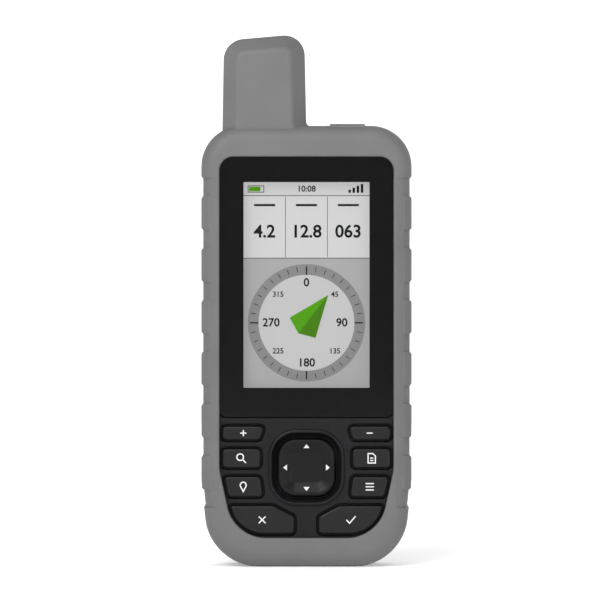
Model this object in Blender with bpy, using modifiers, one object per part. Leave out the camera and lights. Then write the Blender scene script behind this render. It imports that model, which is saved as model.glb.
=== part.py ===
"""Handheld satellite navigator in a silicone sleeve, every piece its own solid.

Metres, +Z up along the aerial stub, the display faces -Y,
and the origin lies on the ground under the middle of the foot.
"""
import math

import bmesh
import bpy
from mathutils import Matrix, Vector

MM = 0.001

# Clearances
FIT = 0.3 * MM
RUN = 0.4 * MM

# Bought-in pieces with standard sizes
CELL_DIAMETER = 14.5 * MM
CELL_LENGTH = 50.5 * MM
CELL_NUB_DIAMETER = 5.5 * MM
CELL_NUB_LENGTH = 1.2 * MM
DISPLAY_WIDTH = 39.8 * MM
DISPLAY_HEIGHT = 65.0 * MM
USB_WIDTH = 7.7 * MM
USB_HEIGHT = 4.0 * MM
USB_DEPTH = 8.6 * MM

# Sleeve and outline of the unit, as seen from the front
SLEEVE_WALL = 2.0 * MM
UNIT_WIDTH = 62.0 * MM
SIDE_LEAN = 0.107
KNEE_HEIGHT = 27.0 * MM
KNEE_RADIUS = 30.0 * MM
FOOT_RADIUS = 14.4 * MM
SHOULDER_RADIUS = 10.6 * MM
SLEEVE_EDGE = 5.0 * MM
EDGE = 1.5 * MM
EDGE_STEPS = 3
HOUSING_WALL = 2.4 * MM

# Aerial stub beside the middle of the top
AERIAL_LEFT = -24.5 * MM
AERIAL_RIGHT = -2.3 * MM
AERIAL_RISE = 29.1 * MM
AERIAL_SLOPE = 0.085
AERIAL_TAPER = 0.6 * MM
AERIAL_RADIUS = 4.2 * MM
AERIAL_FILLET = 3.9 * MM
AERIAL_FOOT = 8.0 * MM
AERIAL_SINK = 8.0 * MM
AERIAL_CHAMFER = 2.1 * MM
SLEEVE_CHAMFER = 4.4 * MM
AERIAL_FRONT_SET = 2.0 * MM
AERIAL_BACK_SET = 6.0 * MM

# Keys and lens stacked up the front
FOOT_MARGIN = 8.2 * MM
ROW_HEIGHTS = [8.8 * MM, 6.3 * MM, 5.9 * MM, 4.2 * MM]
ROW_GAP = 2.9 * MM
LENS_MARGIN = 9.3 * MM
LENS_SIDE = 8.1 * MM
LENS_RADIUS = 2.8 * MM
BROW = 6.3 * MM
SLEEVE_LIP = 3.5 * MM
WINDOW_LEAN = 0.22
WINDOW_KNEE = 30.7 * MM
WINDOW_DROP = 1.3 * MM
WINDOW_FOOT_RADIUS = 12.0 * MM
WINDOW_TOP_RADIUS = 4.4 * MM
WINDOW_REACH = 1.0 * MM
KEY_MARGIN = 0.9 * MM
KEY_GAP = 0.8 * MM
KEY_PROUD = 0.8 * MM
KEY_TRAVEL = 0.8 * MM
KEY_FLANGE = 0.8 * MM
KEY_SPREAD = 1.3 * MM
KEY_RADIUS = 1.2 * MM
STEM_RADIUS = 1.6 * MM
ENTER_REACH = 3.9 * MM
ENTER_SLOPE = 6.5 * MM
ENTER_STEP = 3.4 * MM
KEY_SLANTS = [(0, 0), (-0.75 * MM, 0), (0, 0), (0.2 * MM, -1.3 * MM)]
KEY_NAMES = [
    ("key_quit", "key_enter"),
    ("key_mark", "key_menu"),
    ("key_find", "key_page"),
    ("key_zoom_in", "key_zoom_out"),
]

# Thumb rocker and its ring
RING_HALF = 11.4 * MM
RING_DROP = 4.5 * MM
RING_RADIUS = 8.0 * MM
RING_PROUD = 0.9 * MM
RING_EDGE = 0.7 * MM
RING_TO_KEY = 3.2 * MM
ROCKER_HALF = 8.8 * MM
ROCKER_RADIUS = 5.5 * MM
ROCKER_RIM = 1.0 * MM
ROCKER_DISH = 0.9 * MM
ROCKER_CENTRE = 4.7 * MM
ROCKER_THICK = 3.6 * MM
PIVOT_RADIUS = 2.0 * MM

# Layers from the glass to the battery door
LENS_THICK = 1.5 * MM
SEAL_THICK = 0.5 * MM
LEDGE = 1.2 * MM
LCD_THICK = 2.0 * MM
TRAY_THICK = 1.8 * MM
BOARD_THICK = 1.2 * MM
BAY_WALL = 1.5 * MM
DOOR_THICK = 2.2 * MM
MAT_THICK = 0.6 * MM
DOME_THICK = 0.5 * MM
RIM_DEPTH = 2.0 * MM
SEAL_INSET = 0.6 * MM
SEAL_WIDTH = 0.6 * MM
LCD_RIM = 2.6 * MM
CAN_WIDTH = 32.0 * MM
CAN_DEPTH = 3.2 * MM
IO_WIDTH = 24.0 * MM
BEEPER_RADIUS = 4.5 * MM
HELIX_RADIUS = 5.6 * MM
SPINE_NECK = 2.0 * MM
SPINE_HEAD = 2.2 * MM

# Battery door, lock and socket on the back
SPRING_LENGTH = 4.6 * MM
SPRING_WIRE = 0.35 * MM
SPRING_RADIUS = 3.4 * MM
SPRING_TURNS = 3
SPRING_POINTS = 10
SPRING_TAPER = 0.8 * MM
CONTACT_THICK = 0.5 * MM
DOOR_LAP = 3.5 * MM
DOOR_START = 5.6 * MM
DOOR_RADIUS = 9.0 * MM
DOOR_SEAL_INSET = 0.8 * MM
DOOR_SEAL_WIDTH = 1.2 * MM
LOCK_RISE = 12.2 * MM
DISH_RADIUS = 8.0 * MM
DISH_DEPTH = 3.6 * MM
CUP_WALL = 1.0 * MM
LOCK_DISC_RADIUS = 7.4 * MM
LOCK_DISC_THICK = 1.0 * MM
LOCK_SHAFT_RADIUS = 2.2 * MM
LOCK_SHAFT_LENGTH = 3.2 * MM
LOCK_LUG_HALF = 3.6 * MM
RING_WIRE = 0.8 * MM
RING_BAR_RISE = 2.4 * MM
RING_BAR_DEPTH = 1.0 * MM
RING_BAR_HALF = 4.8 * MM
RING_FALL = 7.4 * MM
RING_EYE_HALF = 2.6 * MM
RING_EYE_WALL = 0.6 * MM
SPINE_HALF = 8.5 * MM
SPINE_UNDERCUT = 2.5 * MM
SPINE_LENGTH = 34.0 * MM
CAP_WIDTH = 20.0 * MM
CAP_HEIGHT = 13.0 * MM
CAP_THICK = 2.0 * MM
CAP_RADIUS = 2.0 * MM
CAP_RISE = 5.0 * MM
BACK_CLEAR = 1.4 * MM

# Power key under the sleeve's pad, right of the aerial
POWER_X = 13.1 * MM
PAD_WIDTH = 11.4 * MM
PAD_DEPTH = 8.0 * MM
PAD_PROUD = 1.1 * MM
POWER_TRAVEL = 0.6 * MM
POWER_WIDTH = 7.0 * MM
POWER_DEPTH = 4.4 * MM
POWER_POCKET = 0.95 * MM
POWER_FLANGE = 1.0 * MM

# Side grips of the sleeve
GRIP_COUNT = 7
GRIP_PITCH = 16.4 * MM
GRIP_HEIGHT = 5.7 * MM
GRIP_DEPTH = 0.6 * MM
GRIP_START = 21.6 * MM

# Screws that close the housing from behind
SCREW_RADIUS = 1.1 * MM
SCREW_HEAD_RADIUS = 1.9 * MM
SCREW_HEAD = 1.4 * MM
BOSS_RADIUS = 2.3 * MM
BOSS_SIDE = 25.8 * MM
BOSS_FOOT = 20.0 * MM
BOSS_FOOT_RISE = 5.5 * MM
SCREW_BITE = 5.0 * MM
SCREW_GRIP = 3.0 * MM

ARC_STEP = math.radians(15)
SMALL_ARC_STEP = math.radians(30)
SMALL_ARC_RADIUS = 3.0 * MM
ROUND_SIDES = 36
SMALL_SIDES = 12

# Heights
SKIN = SLEEVE_WALL + FIT
UNIT_HALF = UNIT_WIDTH / 2
UNIT_BOTTOM = SKIN
KEY_BOTTOM = UNIT_BOTTOM + FOOT_MARGIN
LENS_BOTTOM = KEY_BOTTOM + sum(ROW_HEIGHTS) + ROW_GAP * len(ROW_HEIGHTS)
DISPLAY_BOTTOM = LENS_BOTTOM + LENS_MARGIN
DISPLAY_TOP = DISPLAY_BOTTOM + DISPLAY_HEIGHT
LENS_TOP = DISPLAY_TOP + LENS_MARGIN
UNIT_TOP = LENS_TOP + BROW
RING_Z = LENS_BOTTOM - RING_DROP - RING_HALF
LOCK_Z = DOOR_START + LOCK_RISE
CUP_RADIUS = DISH_RADIUS + CUP_WALL
BAY_START = LOCK_Z + CUP_RADIUS + RUN + CUP_WALL
BAY_LENGTH = 2 * (FIT + CONTACT_THICK) + SPRING_LENGTH + CELL_LENGTH + 3 * FIT
BAY_END = BAY_START + BAY_LENGTH
DOOR_END = BAY_END + DOOR_LAP
CAP_BOTTOM = DOOR_END + CAP_RISE
CAP_TOP = CAP_BOTTOM + CAP_HEIGHT

# Half widths
DISPLAY_HALF = DISPLAY_WIDTH / 2
LENS_HALF = DISPLAY_HALF + LENS_SIDE
WINDOW_HALF = UNIT_HALF - SLEEVE_LIP
WINDOW_BOTTOM = KEY_BOTTOM - WINDOW_DROP
WINDOW_TOP = LENS_TOP - WINDOW_DROP
KEY_INNER = RING_HALF + RING_TO_KEY
CELL_X = CELL_DIAMETER / 2 + FIT
BAY_HALF = CELL_X + CELL_DIAMETER / 2 + FIT
DOOR_HALF = BAY_HALF + DOOR_LAP
BOARD_HALF = BOSS_SIDE - BOSS_RADIUS - FIT

# Depths, from the front of the unit to its back
FRONT_WALL = LENS_THICK + FIT + SEAL_THICK + FIT + LEDGE
STACK = FRONT_WALL + LCD_THICK + TRAY_THICK + BOARD_THICK + BAY_WALL
UNIT_DEPTH = STACK + CELL_DIAMETER + DOOR_THICK + 6 * FIT
SPINE = SPINE_NECK + SPINE_HEAD
Y_FRONT = (SKIN - UNIT_DEPTH - SPINE) / 2
Y_BACK = Y_FRONT + UNIT_DEPTH
Y_WALL = Y_FRONT + FRONT_WALL
Y_LCD = Y_WALL + FIT
Y_TRAY = Y_LCD + LCD_THICK + FIT
Y_BOARD = Y_TRAY + TRAY_THICK + FIT
Y_BOARD_BACK = Y_BOARD + BOARD_THICK
Y_BAY = Y_BOARD_BACK + FIT
Y_CELL = Y_BAY + BAY_WALL + FIT + CELL_DIAMETER / 2
Y_DOOR = Y_BACK - DOOR_THICK
Y_REBATE = Y_DOOR - SEAL_THICK - 2 * FIT
Y_PART = Y_BOARD_BACK + RIM_DEPTH
Y_DOME = Y_BOARD - FIT - DOME_THICK
Y_POWER = (Y_PART + Y_BACK) / 2
PAST = 2.0 * MM
NUDGE = 0.05 * MM


def offset(corners, grow):
    """Outline with every edge moved outward, so that rounded corners stay concentric."""
    moved = []
    for index, (x, z, radius) in enumerate(corners):
        last = corners[index - 1]
        following = corners[(index + 1) % len(corners)]
        before = Vector((x - last[0], z - last[1])).normalized()
        after = Vector((following[0] - x, following[1] - z)).normalized()
        out_before = Vector((before.y, -before.x))
        out_after = Vector((after.y, -after.x))
        mitre = (out_before + out_after) / (1 + out_before.dot(out_after))
        bulges = before.x * after.y - before.y * after.x > 0
        new_radius = radius + grow if bulges else radius - grow
        moved.append((x + mitre.x * grow, z + mitre.y * grow, max(new_radius, 0) if radius else 0))
    return moved


def mirrored(corners):
    """The same outline on the left side."""
    return [(-x, z, radius) for x, z, radius in reversed(corners)]


def rounded(corners):
    """Points of an outline whose corners are replaced by arcs."""
    points = []
    for index, (x, z, radius) in enumerate(corners):
        corner = Vector((x, z))
        if radius == 0:
            points.append(corner)
            continue
        to_last = (Vector(corners[index - 1][:2]) - corner).normalized()
        to_next = (Vector(corners[(index + 1) % len(corners)][:2]) - corner).normalized()
        half = to_last.angle(to_next) / 2
        centre = corner + (to_last + to_next).normalized() * radius / math.sin(half)
        start = corner + to_last * radius / math.tan(half) - centre
        end = corner + to_next * radius / math.tan(half) - centre
        sweep = math.atan2(start.x * end.y - start.y * end.x, start.dot(end))
        arc_step = ARC_STEP if radius > SMALL_ARC_RADIUS else SMALL_ARC_STEP
        steps = max(2, round(abs(sweep) / arc_step))
        for step in range(steps + 1):
            turn = Matrix.Rotation(sweep * step / steps, 2)
            points.append(centre + turn @ start)
    return points


def rectangle(left, right, bottom, top, radius):
    """Corners of an upright rectangle in the front view."""
    return [(left, bottom, radius), (right, bottom, radius), (right, top, radius), (left, top, radius)]


def add(name, mesh):
    """Object for a mesh, placed with the parts."""
    piece = bpy.data.objects.new(name, mesh)
    PARTS.objects.link(piece)
    return piece


def from_bmesh(name, shape):
    mesh = bpy.data.meshes.new(name)
    bmesh.ops.recalc_face_normals(shape, faces=shape.faces)
    shape.to_mesh(mesh)
    shape.free()
    return add(name, mesh)


def as_mesh(curve_object):
    """Welded mesh of a curve, with its place written into the mesh."""
    bpy.context.view_layer.update()
    evaluated = curve_object.evaluated_get(bpy.context.evaluated_depsgraph_get())
    mesh = bpy.data.meshes.new_from_object(evaluated)
    mesh.transform(curve_object.matrix_world)
    shape = bmesh.new()
    shape.from_mesh(mesh)
    bmesh.ops.remove_doubles(shape, verts=shape.verts, dist=1e-6)
    name = curve_object.name
    bpy.data.objects.remove(curve_object)
    return name, shape


def plate(name, corners, near, far):
    """Front-view outline filled from depth near to depth far."""
    curve = bpy.data.curves.new(name, "CURVE")
    curve.dimensions = "2D"
    curve.fill_mode = "BOTH"
    curve.extrude = (far - near) / 2
    points = rounded(corners)
    spline = curve.splines.new("POLY")
    spline.points.add(len(points) - 1)
    for place, point in zip(spline.points, points):
        place.co = (point.x, point.y, 0, 1)
    spline.use_cyclic_u = True
    outline = bpy.data.objects.new(name, curve)
    PARTS.objects.link(outline)
    outline.rotation_euler.x = math.pi / 2
    outline.location.y = (near + far) / 2
    name, shape = as_mesh(outline)
    bmesh.ops.dissolve_limit(shape, angle_limit=0.01, verts=shape.verts, edges=shape.edges)
    return from_bmesh(name, shape)


def pillow(name, corners, near, far, edge, steps):
    """Plate whose front and back edges are taken off by insets: one makes a chamfer, more a rounding."""
    piece = plate(name, corners, near + edge, far - edge)
    shape = bmesh.new()
    shape.from_mesh(piece.data)
    by_depth = sorted(shape.faces, key=lambda face: face.calc_center_median().y)
    step_turn = math.pi / 2 / steps
    for face in (by_depth[0], by_depth[-1]):
        for step in range(steps):
            start = step * step_turn
            end = start + step_turn
            inward = edge * (math.cos(start) - math.cos(end))
            rise = edge * (math.sin(end) - math.sin(start))
            bmesh.ops.inset_region(shape, faces=[face], thickness=inward, depth=rise, use_even_offset=True)
    shape.to_mesh(piece.data)
    shape.free()
    return piece


def blocks(name, places):
    """Blocks in one mesh, each between two values on each axis."""
    shape = bmesh.new()
    for spans in places:
        size = Matrix.Diagonal([high - low for low, high in spans] + [1])
        middle = Matrix.Translation([(low + high) / 2 for low, high in spans])
        bmesh.ops.create_cube(shape, size=1, matrix=middle @ size)
    return from_bmesh(name, shape)


def box(name, x_span, y_span, z_span):
    """Single block."""
    return blocks(name, [(x_span, y_span, z_span)])


def around(middle, width):
    """Span of a width about a middle value."""
    return (middle - width / 2, middle + width / 2)


def rod(name, start, end, radius, sides=SMALL_SIDES):
    """Cylinder between two points."""
    start = Vector(start)
    along = Vector(end) - start
    turn = along.to_track_quat("Z", "Y").to_matrix().to_4x4()
    place = Matrix.Translation(start + along / 2) @ turn
    shape = bmesh.new()
    bmesh.ops.create_cone(shape, cap_ends=True, segments=sides, radius1=radius, radius2=radius,
                          depth=along.length, matrix=place)
    return from_bmesh(name, shape)


def wire(name, points, radius, closed=False):
    """Round wire through the points."""
    curve = bpy.data.curves.new(name, "CURVE")
    curve.dimensions = "3D"
    curve.bevel_depth = radius
    curve.bevel_resolution = 1
    curve.use_fill_caps = not closed
    spline = curve.splines.new("POLY")
    spline.points.add(len(points) - 1)
    for place, point in zip(spline.points, points):
        place.co = (*point, 1)
    spline.use_cyclic_u = closed
    path = bpy.data.objects.new(name, curve)
    PARTS.objects.link(path)
    name, shape = as_mesh(path)
    return from_bmesh(name, shape)


def turned(name, profile, place, steps):
    """Profile of radius and height pairs, top to bottom, turned about its own Z axis."""
    mesh = bpy.data.meshes.new(name)
    vertices = [(radius, 0, height) for radius, height in profile]
    edges = [(index, index + 1) for index in range(len(profile) - 1)]
    mesh.from_pydata(vertices, edges, [])
    piece = add(name, mesh)
    screw = piece.modifiers.new("turn", "SCREW")
    screw.steps = steps
    screw.render_steps = steps
    screw.use_merge_vertices = True
    screw.merge_threshold = 1e-5
    screw.use_smooth_shade = True
    piece.matrix_world = place
    return piece


def soften(piece, width, segments=2, angle=40):
    """Rounded edges."""
    bevel = piece.modifiers.new("edges", "BEVEL")
    bevel.width = width
    bevel.segments = segments
    bevel.limit_method = "ANGLE"
    bevel.angle_limit = math.radians(angle)
    return piece


def combine(piece, tools, operation):
    for tool in tools:
        boolean = piece.modifiers.new(tool.name, "BOOLEAN")
        boolean.operation = operation
        boolean.object = tool
        if tool.name in PARTS.objects:
            PARTS.objects.unlink(tool)
            CUTTERS.objects.link(tool)
        tool.hide_render = True
        tool.display_type = "WIRE"
    return piece


def cut(piece, *tools):
    """Take the tools' volume away from the piece."""
    return combine(piece, tools, "DIFFERENCE")


def join(piece, *tools):
    """Make the tools part of the piece."""
    return combine(piece, tools, "UNION")


def pivot(name, place, *pieces):
    """Empty on a joint's axis that carries the pieces."""
    empty = bpy.data.objects.new(name, None)
    PARTS.objects.link(empty)
    empty.location = place
    for piece in pieces:
        piece.parent = empty
        piece.matrix_parent_inverse = Matrix.Translation(place).inverted()


def finish(pieces, name, colour, roughness, metallic=0.0):
    """One material for pieces of the same make, colour given as screen values."""
    material = bpy.data.materials.new(name)
    material.use_nodes = True
    shader = material.node_tree.nodes["Principled BSDF"]
    linear = [((value + 0.055) / 1.055) ** 2.4 if value > 0.04 else value / 12.92 for value in colour]
    shader.inputs["Base Color"].default_value = (*linear, 1)
    shader.inputs["Roughness"].default_value = roughness
    shader.inputs["Metallic"].default_value = metallic
    for piece in pieces:
        piece.data.materials.clear()
        piece.data.materials.append(material)


def body_outline(grow):
    """Front outline of the unit's body: leaning foot, straight sides, round shoulders."""
    foot = UNIT_HALF - SIDE_LEAN * (KNEE_HEIGHT - UNIT_BOTTOM)
    right = [
        (foot, UNIT_BOTTOM, FOOT_RADIUS),
        (UNIT_HALF, KNEE_HEIGHT, KNEE_RADIUS),
        (UNIT_HALF, UNIT_TOP, SHOULDER_RADIUS),
    ]
    return offset(right + mirrored(right), grow)


def aerial_outline(grow):
    """Front outline of the aerial stub: sloping top, and a fillet into the body on its right."""
    top = UNIT_TOP + AERIAL_RISE
    low = UNIT_TOP - AERIAL_SINK
    flush = UNIT_TOP - NUDGE
    drop = AERIAL_SLOPE * (AERIAL_RIGHT - AERIAL_LEFT)
    corners = [
        (AERIAL_LEFT, low, 0),
        (AERIAL_RIGHT + AERIAL_FOOT, low, 0),
        (AERIAL_RIGHT + AERIAL_FOOT, flush, 0),
        (AERIAL_RIGHT, flush, AERIAL_FILLET),
        (AERIAL_RIGHT - AERIAL_TAPER, top, AERIAL_RADIUS),
        (AERIAL_LEFT + AERIAL_TAPER, top - drop, AERIAL_RADIUS),
    ]
    return offset(corners, grow)


def unit_form(name, grow, body_span, aerial_span):
    """Body and aerial as one sharp-edged form, grown or shrunk in the front view."""
    body = plate(name, body_outline(grow), *body_span)
    return join(body, plate(name + "_aerial", aerial_outline(grow), *aerial_span))


def skin_form(name, grow, edge, chamfer):
    """The unit's outer form grown all round, with a rounded body and a chamfered aerial."""
    body = pillow(name, body_outline(grow), Y_FRONT - grow, Y_BACK + grow, edge, EDGE_STEPS)
    aerial_near = Y_FRONT + AERIAL_FRONT_SET - grow
    aerial_far = Y_BACK - AERIAL_BACK_SET + grow
    return join(body, pillow(name + "_aerial", aerial_outline(grow), aerial_near, aerial_far, chamfer, 1))


def row_bottom(row):
    return KEY_BOTTOM + sum(ROW_HEIGHTS[:row]) + ROW_GAP * row


def window_edge(z):
    """Half width of the sleeve's window at a height."""
    return WINDOW_HALF - WINDOW_LEAN * max(0, WINDOW_KNEE - z)


def window_outline():
    """Front window of the sleeve, drawn in towards the foot."""
    right = [
        (window_edge(WINDOW_BOTTOM), WINDOW_BOTTOM, WINDOW_FOOT_RADIUS),
        (WINDOW_HALF, WINDOW_KNEE, WINDOW_FOOT_RADIUS),
        (WINDOW_HALF, WINDOW_TOP, WINDOW_TOP_RADIUS),
    ]
    return right + mirrored(right)


def door_outline(grow):
    return offset(rectangle(-DOOR_HALF, DOOR_HALF, DOOR_START, DOOR_END, DOOR_RADIUS), grow)


def cap_outline(grow):
    return offset(rectangle(-CAP_WIDTH / 2, CAP_WIDTH / 2, CAP_BOTTOM, CAP_TOP, CAP_RADIUS), grow)


def rocker_outline(half, radius):
    return rectangle(-half, half, RING_Z - half, RING_Z + half, radius)


def key_outlines():
    """Right-hand key of each row from the bottom up, shaped round the rocker ring and window."""
    outlines = []
    for row, height in enumerate(ROW_HEIGHTS):
        low = row_bottom(row)
        high = low + height
        outer_low = window_edge(low) - KEY_MARGIN
        outer_high = window_edge(high) - KEY_MARGIN
        inner_low = KEY_INNER + KEY_SLANTS[row][0]
        inner_high = KEY_INNER + KEY_SLANTS[row][1]
        outlines.append([
            (inner_low, low, KEY_RADIUS),
            (outer_low, low, KEY_RADIUS),
            (outer_high, high, KEY_RADIUS),
            (inner_high, high, KEY_RADIUS),
        ])
    low = row_bottom(0)
    high = low + ROW_HEIGHTS[0]
    outlines[0] = [
        (ENTER_REACH, low, KEY_RADIUS),
        (window_edge(low) - KEY_MARGIN, low, WINDOW_FOOT_RADIUS - 2 * KEY_MARGIN),
        (window_edge(high) - KEY_MARGIN, high, KEY_RADIUS / 2),
        (ENTER_REACH + ENTER_SLOPE, high, KEY_RADIUS),
        (ENTER_REACH, high - ENTER_STEP, KEY_RADIUS),
    ]
    return outlines


def all_keys():
    """Names and outlines of the eight keys."""
    keys = []
    for outline, (left, right) in zip(key_outlines(), KEY_NAMES):
        keys.append((left, mirrored(outline)))
        keys.append((right, outline))
    return keys


def stem_place(outline):
    """Middle of a key, where its stem stands."""
    return (
        sum(corner[0] for corner in outline) / len(outline),
        sum(corner[1] for corner in outline) / len(outline),
    )


def screw_places():
    heights = [UNIT_BOTTOM + BOSS_FOOT_RISE, LENS_BOTTOM + BOSS_RADIUS, LENS_TOP - BOSS_RADIUS]
    reaches = [BOSS_FOOT, BOSS_SIDE, BOSS_SIDE]
    return [(side * reach, z) for reach, z in zip(reaches, heights) for side in (-1, 1)]


def make_sleeve():
    """Silicone sleeve with its windows and side grips, and the pad over the power key."""
    sleeve = skin_form("silicone_sleeve", SKIN, SLEEVE_EDGE, SLEEVE_CHAMFER)
    cut(sleeve, skin_form("sleeve_hollow", FIT, EDGE + FIT, AERIAL_CHAMFER + FIT * (2 - math.sqrt(2))))
    front = (Y_FRONT - SKIN - PAST, Y_FRONT + WINDOW_REACH)
    back = (Y_BACK - WINDOW_REACH, Y_BACK + SKIN + PAST)
    cut(sleeve, plate("front_window", window_outline(), *front))
    cut(sleeve, plate("door_window", door_outline(BACK_CLEAR), *back))
    cut(sleeve, plate("socket_window", cap_outline(BACK_CLEAR), *back))
    slot_x = around(POWER_X, PAD_WIDTH + 2 * FIT)
    slot_y = around(Y_POWER, PAD_DEPTH + 2 * FIT)
    cut(sleeve, box("pad_slot", slot_x, slot_y, (UNIT_TOP - WINDOW_REACH, UNIT_TOP + SKIN + PAST)))
    reach = (UNIT_HALF - EDGE, UNIT_HALF + SKIN + PAST)
    depth = (Y_FRONT - SKIN - PAST, Y_BACK + SKIN + PAST)
    places = []
    for index in range(GRIP_COUNT):
        height = around(GRIP_START + index * GRIP_PITCH, GRIP_HEIGHT)
        places.append((reach, depth, height))
        places.append(((-reach[1], -reach[0]), depth, height))
    grips = blocks("side_grips", places)
    floor_outline = body_outline(SKIN - GRIP_DEPTH)
    floor_near = Y_FRONT - SKIN - FIT
    floor_far = Y_BACK + SKIN + FIT
    floor = pillow("grip_floor", floor_outline, floor_near, floor_far, SLEEVE_EDGE, EDGE_STEPS)
    cut(sleeve, cut(grips, floor))
    pad = box("sleeve_power_pad", around(POWER_X, PAD_WIDTH), around(Y_POWER, PAD_DEPTH),
              (UNIT_TOP + FIT, UNIT_TOP + SKIN + PAD_PROUD))
    soften(pad, PAD_PROUD / 2)
    finish([sleeve, pad], "silicone", (0.53, 0.53, 0.53), 0.75)


def housing_hollow():
    """Room inside the two housing halves."""
    body_span = (Y_WALL, Y_BACK - HOUSING_WALL)
    aerial_span = (Y_FRONT + AERIAL_FRONT_SET + HOUSING_WALL, Y_BACK - AERIAL_BACK_SET - HOUSING_WALL)
    return unit_form("housing_hollow", -HOUSING_WALL, body_span, aerial_span)


def half_space(name, near, far):
    """Block that takes one side of the parting plane away."""
    wide = UNIT_HALF + SKIN
    return box(name, (-wide, wide), (near, far), (0, UNIT_TOP + AERIAL_RISE + SKIN))


def make_front(hollow):
    """Front housing: fascia with the lens recess, rocker ring, key holes and screw bosses."""
    front = skin_form("front_housing", 0, EDGE, AERIAL_CHAMFER)
    cut(front, half_space("behind_parting", Y_PART, Y_BACK + PAST), hollow)
    for index, (x, z) in enumerate(screw_places()):
        join(front, rod(f"boss_{index}", (x, Y_WALL - LEDGE / 2, z), (x, Y_PART, z), BOSS_RADIUS))
        bore_from = (x, Y_PART - SCREW_BITE - FIT, z)
        cut(front, rod(f"pilot_{index}", bore_from, (x, Y_PART + PAST, z), SCREW_RADIUS + FIT))
    ring = plate("rocker_ring", rocker_outline(RING_HALF, RING_RADIUS), Y_FRONT - RING_PROUD, Y_WALL - LEDGE)
    join(front, soften(ring, RING_EDGE))
    hole = rocker_outline(ROCKER_HALF + KEY_GAP, ROCKER_RADIUS + KEY_GAP)
    cut(front, plate("rocker_hole", hole, Y_FRONT - PAST, Y_WALL + PAST))
    for name, outline in all_keys():
        cut(front, plate(name + "_hole", offset(outline, KEY_GAP), Y_FRONT - PAST, Y_WALL + PAST))
    lens = rectangle(-LENS_HALF, LENS_HALF, LENS_BOTTOM, LENS_TOP, LENS_RADIUS)
    cut(front, plate("lens_recess", offset(lens, FIT), Y_FRONT - PAST, Y_WALL - LEDGE))
    view = rectangle(-DISPLAY_HALF, DISPLAY_HALF, DISPLAY_BOTTOM, DISPLAY_TOP, FIT)
    cut(front, plate("display_hole", offset(view, FIT), Y_FRONT - PAST, Y_WALL + PAST))
    finish([front], "black_housing", (0.17, 0.17, 0.17), 0.5)
    glass = plate("lens_window", lens, Y_FRONT, Y_FRONT + LENS_THICK)
    soften(glass, FIT)
    finish([glass], "dark_glass", (0.03, 0.03, 0.03), 0.08)
    seal_near = Y_FRONT + LENS_THICK + FIT
    seal = plate("lens_seal", offset(lens, -FIT), seal_near, seal_near + SEAL_THICK)
    cut(seal, plate("lens_seal_hole", offset(view, 2 * FIT), seal_near - PAST, seal_near + PAST))
    finish([seal], "seal_tape", (0.08, 0.08, 0.08), 0.8)


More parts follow.
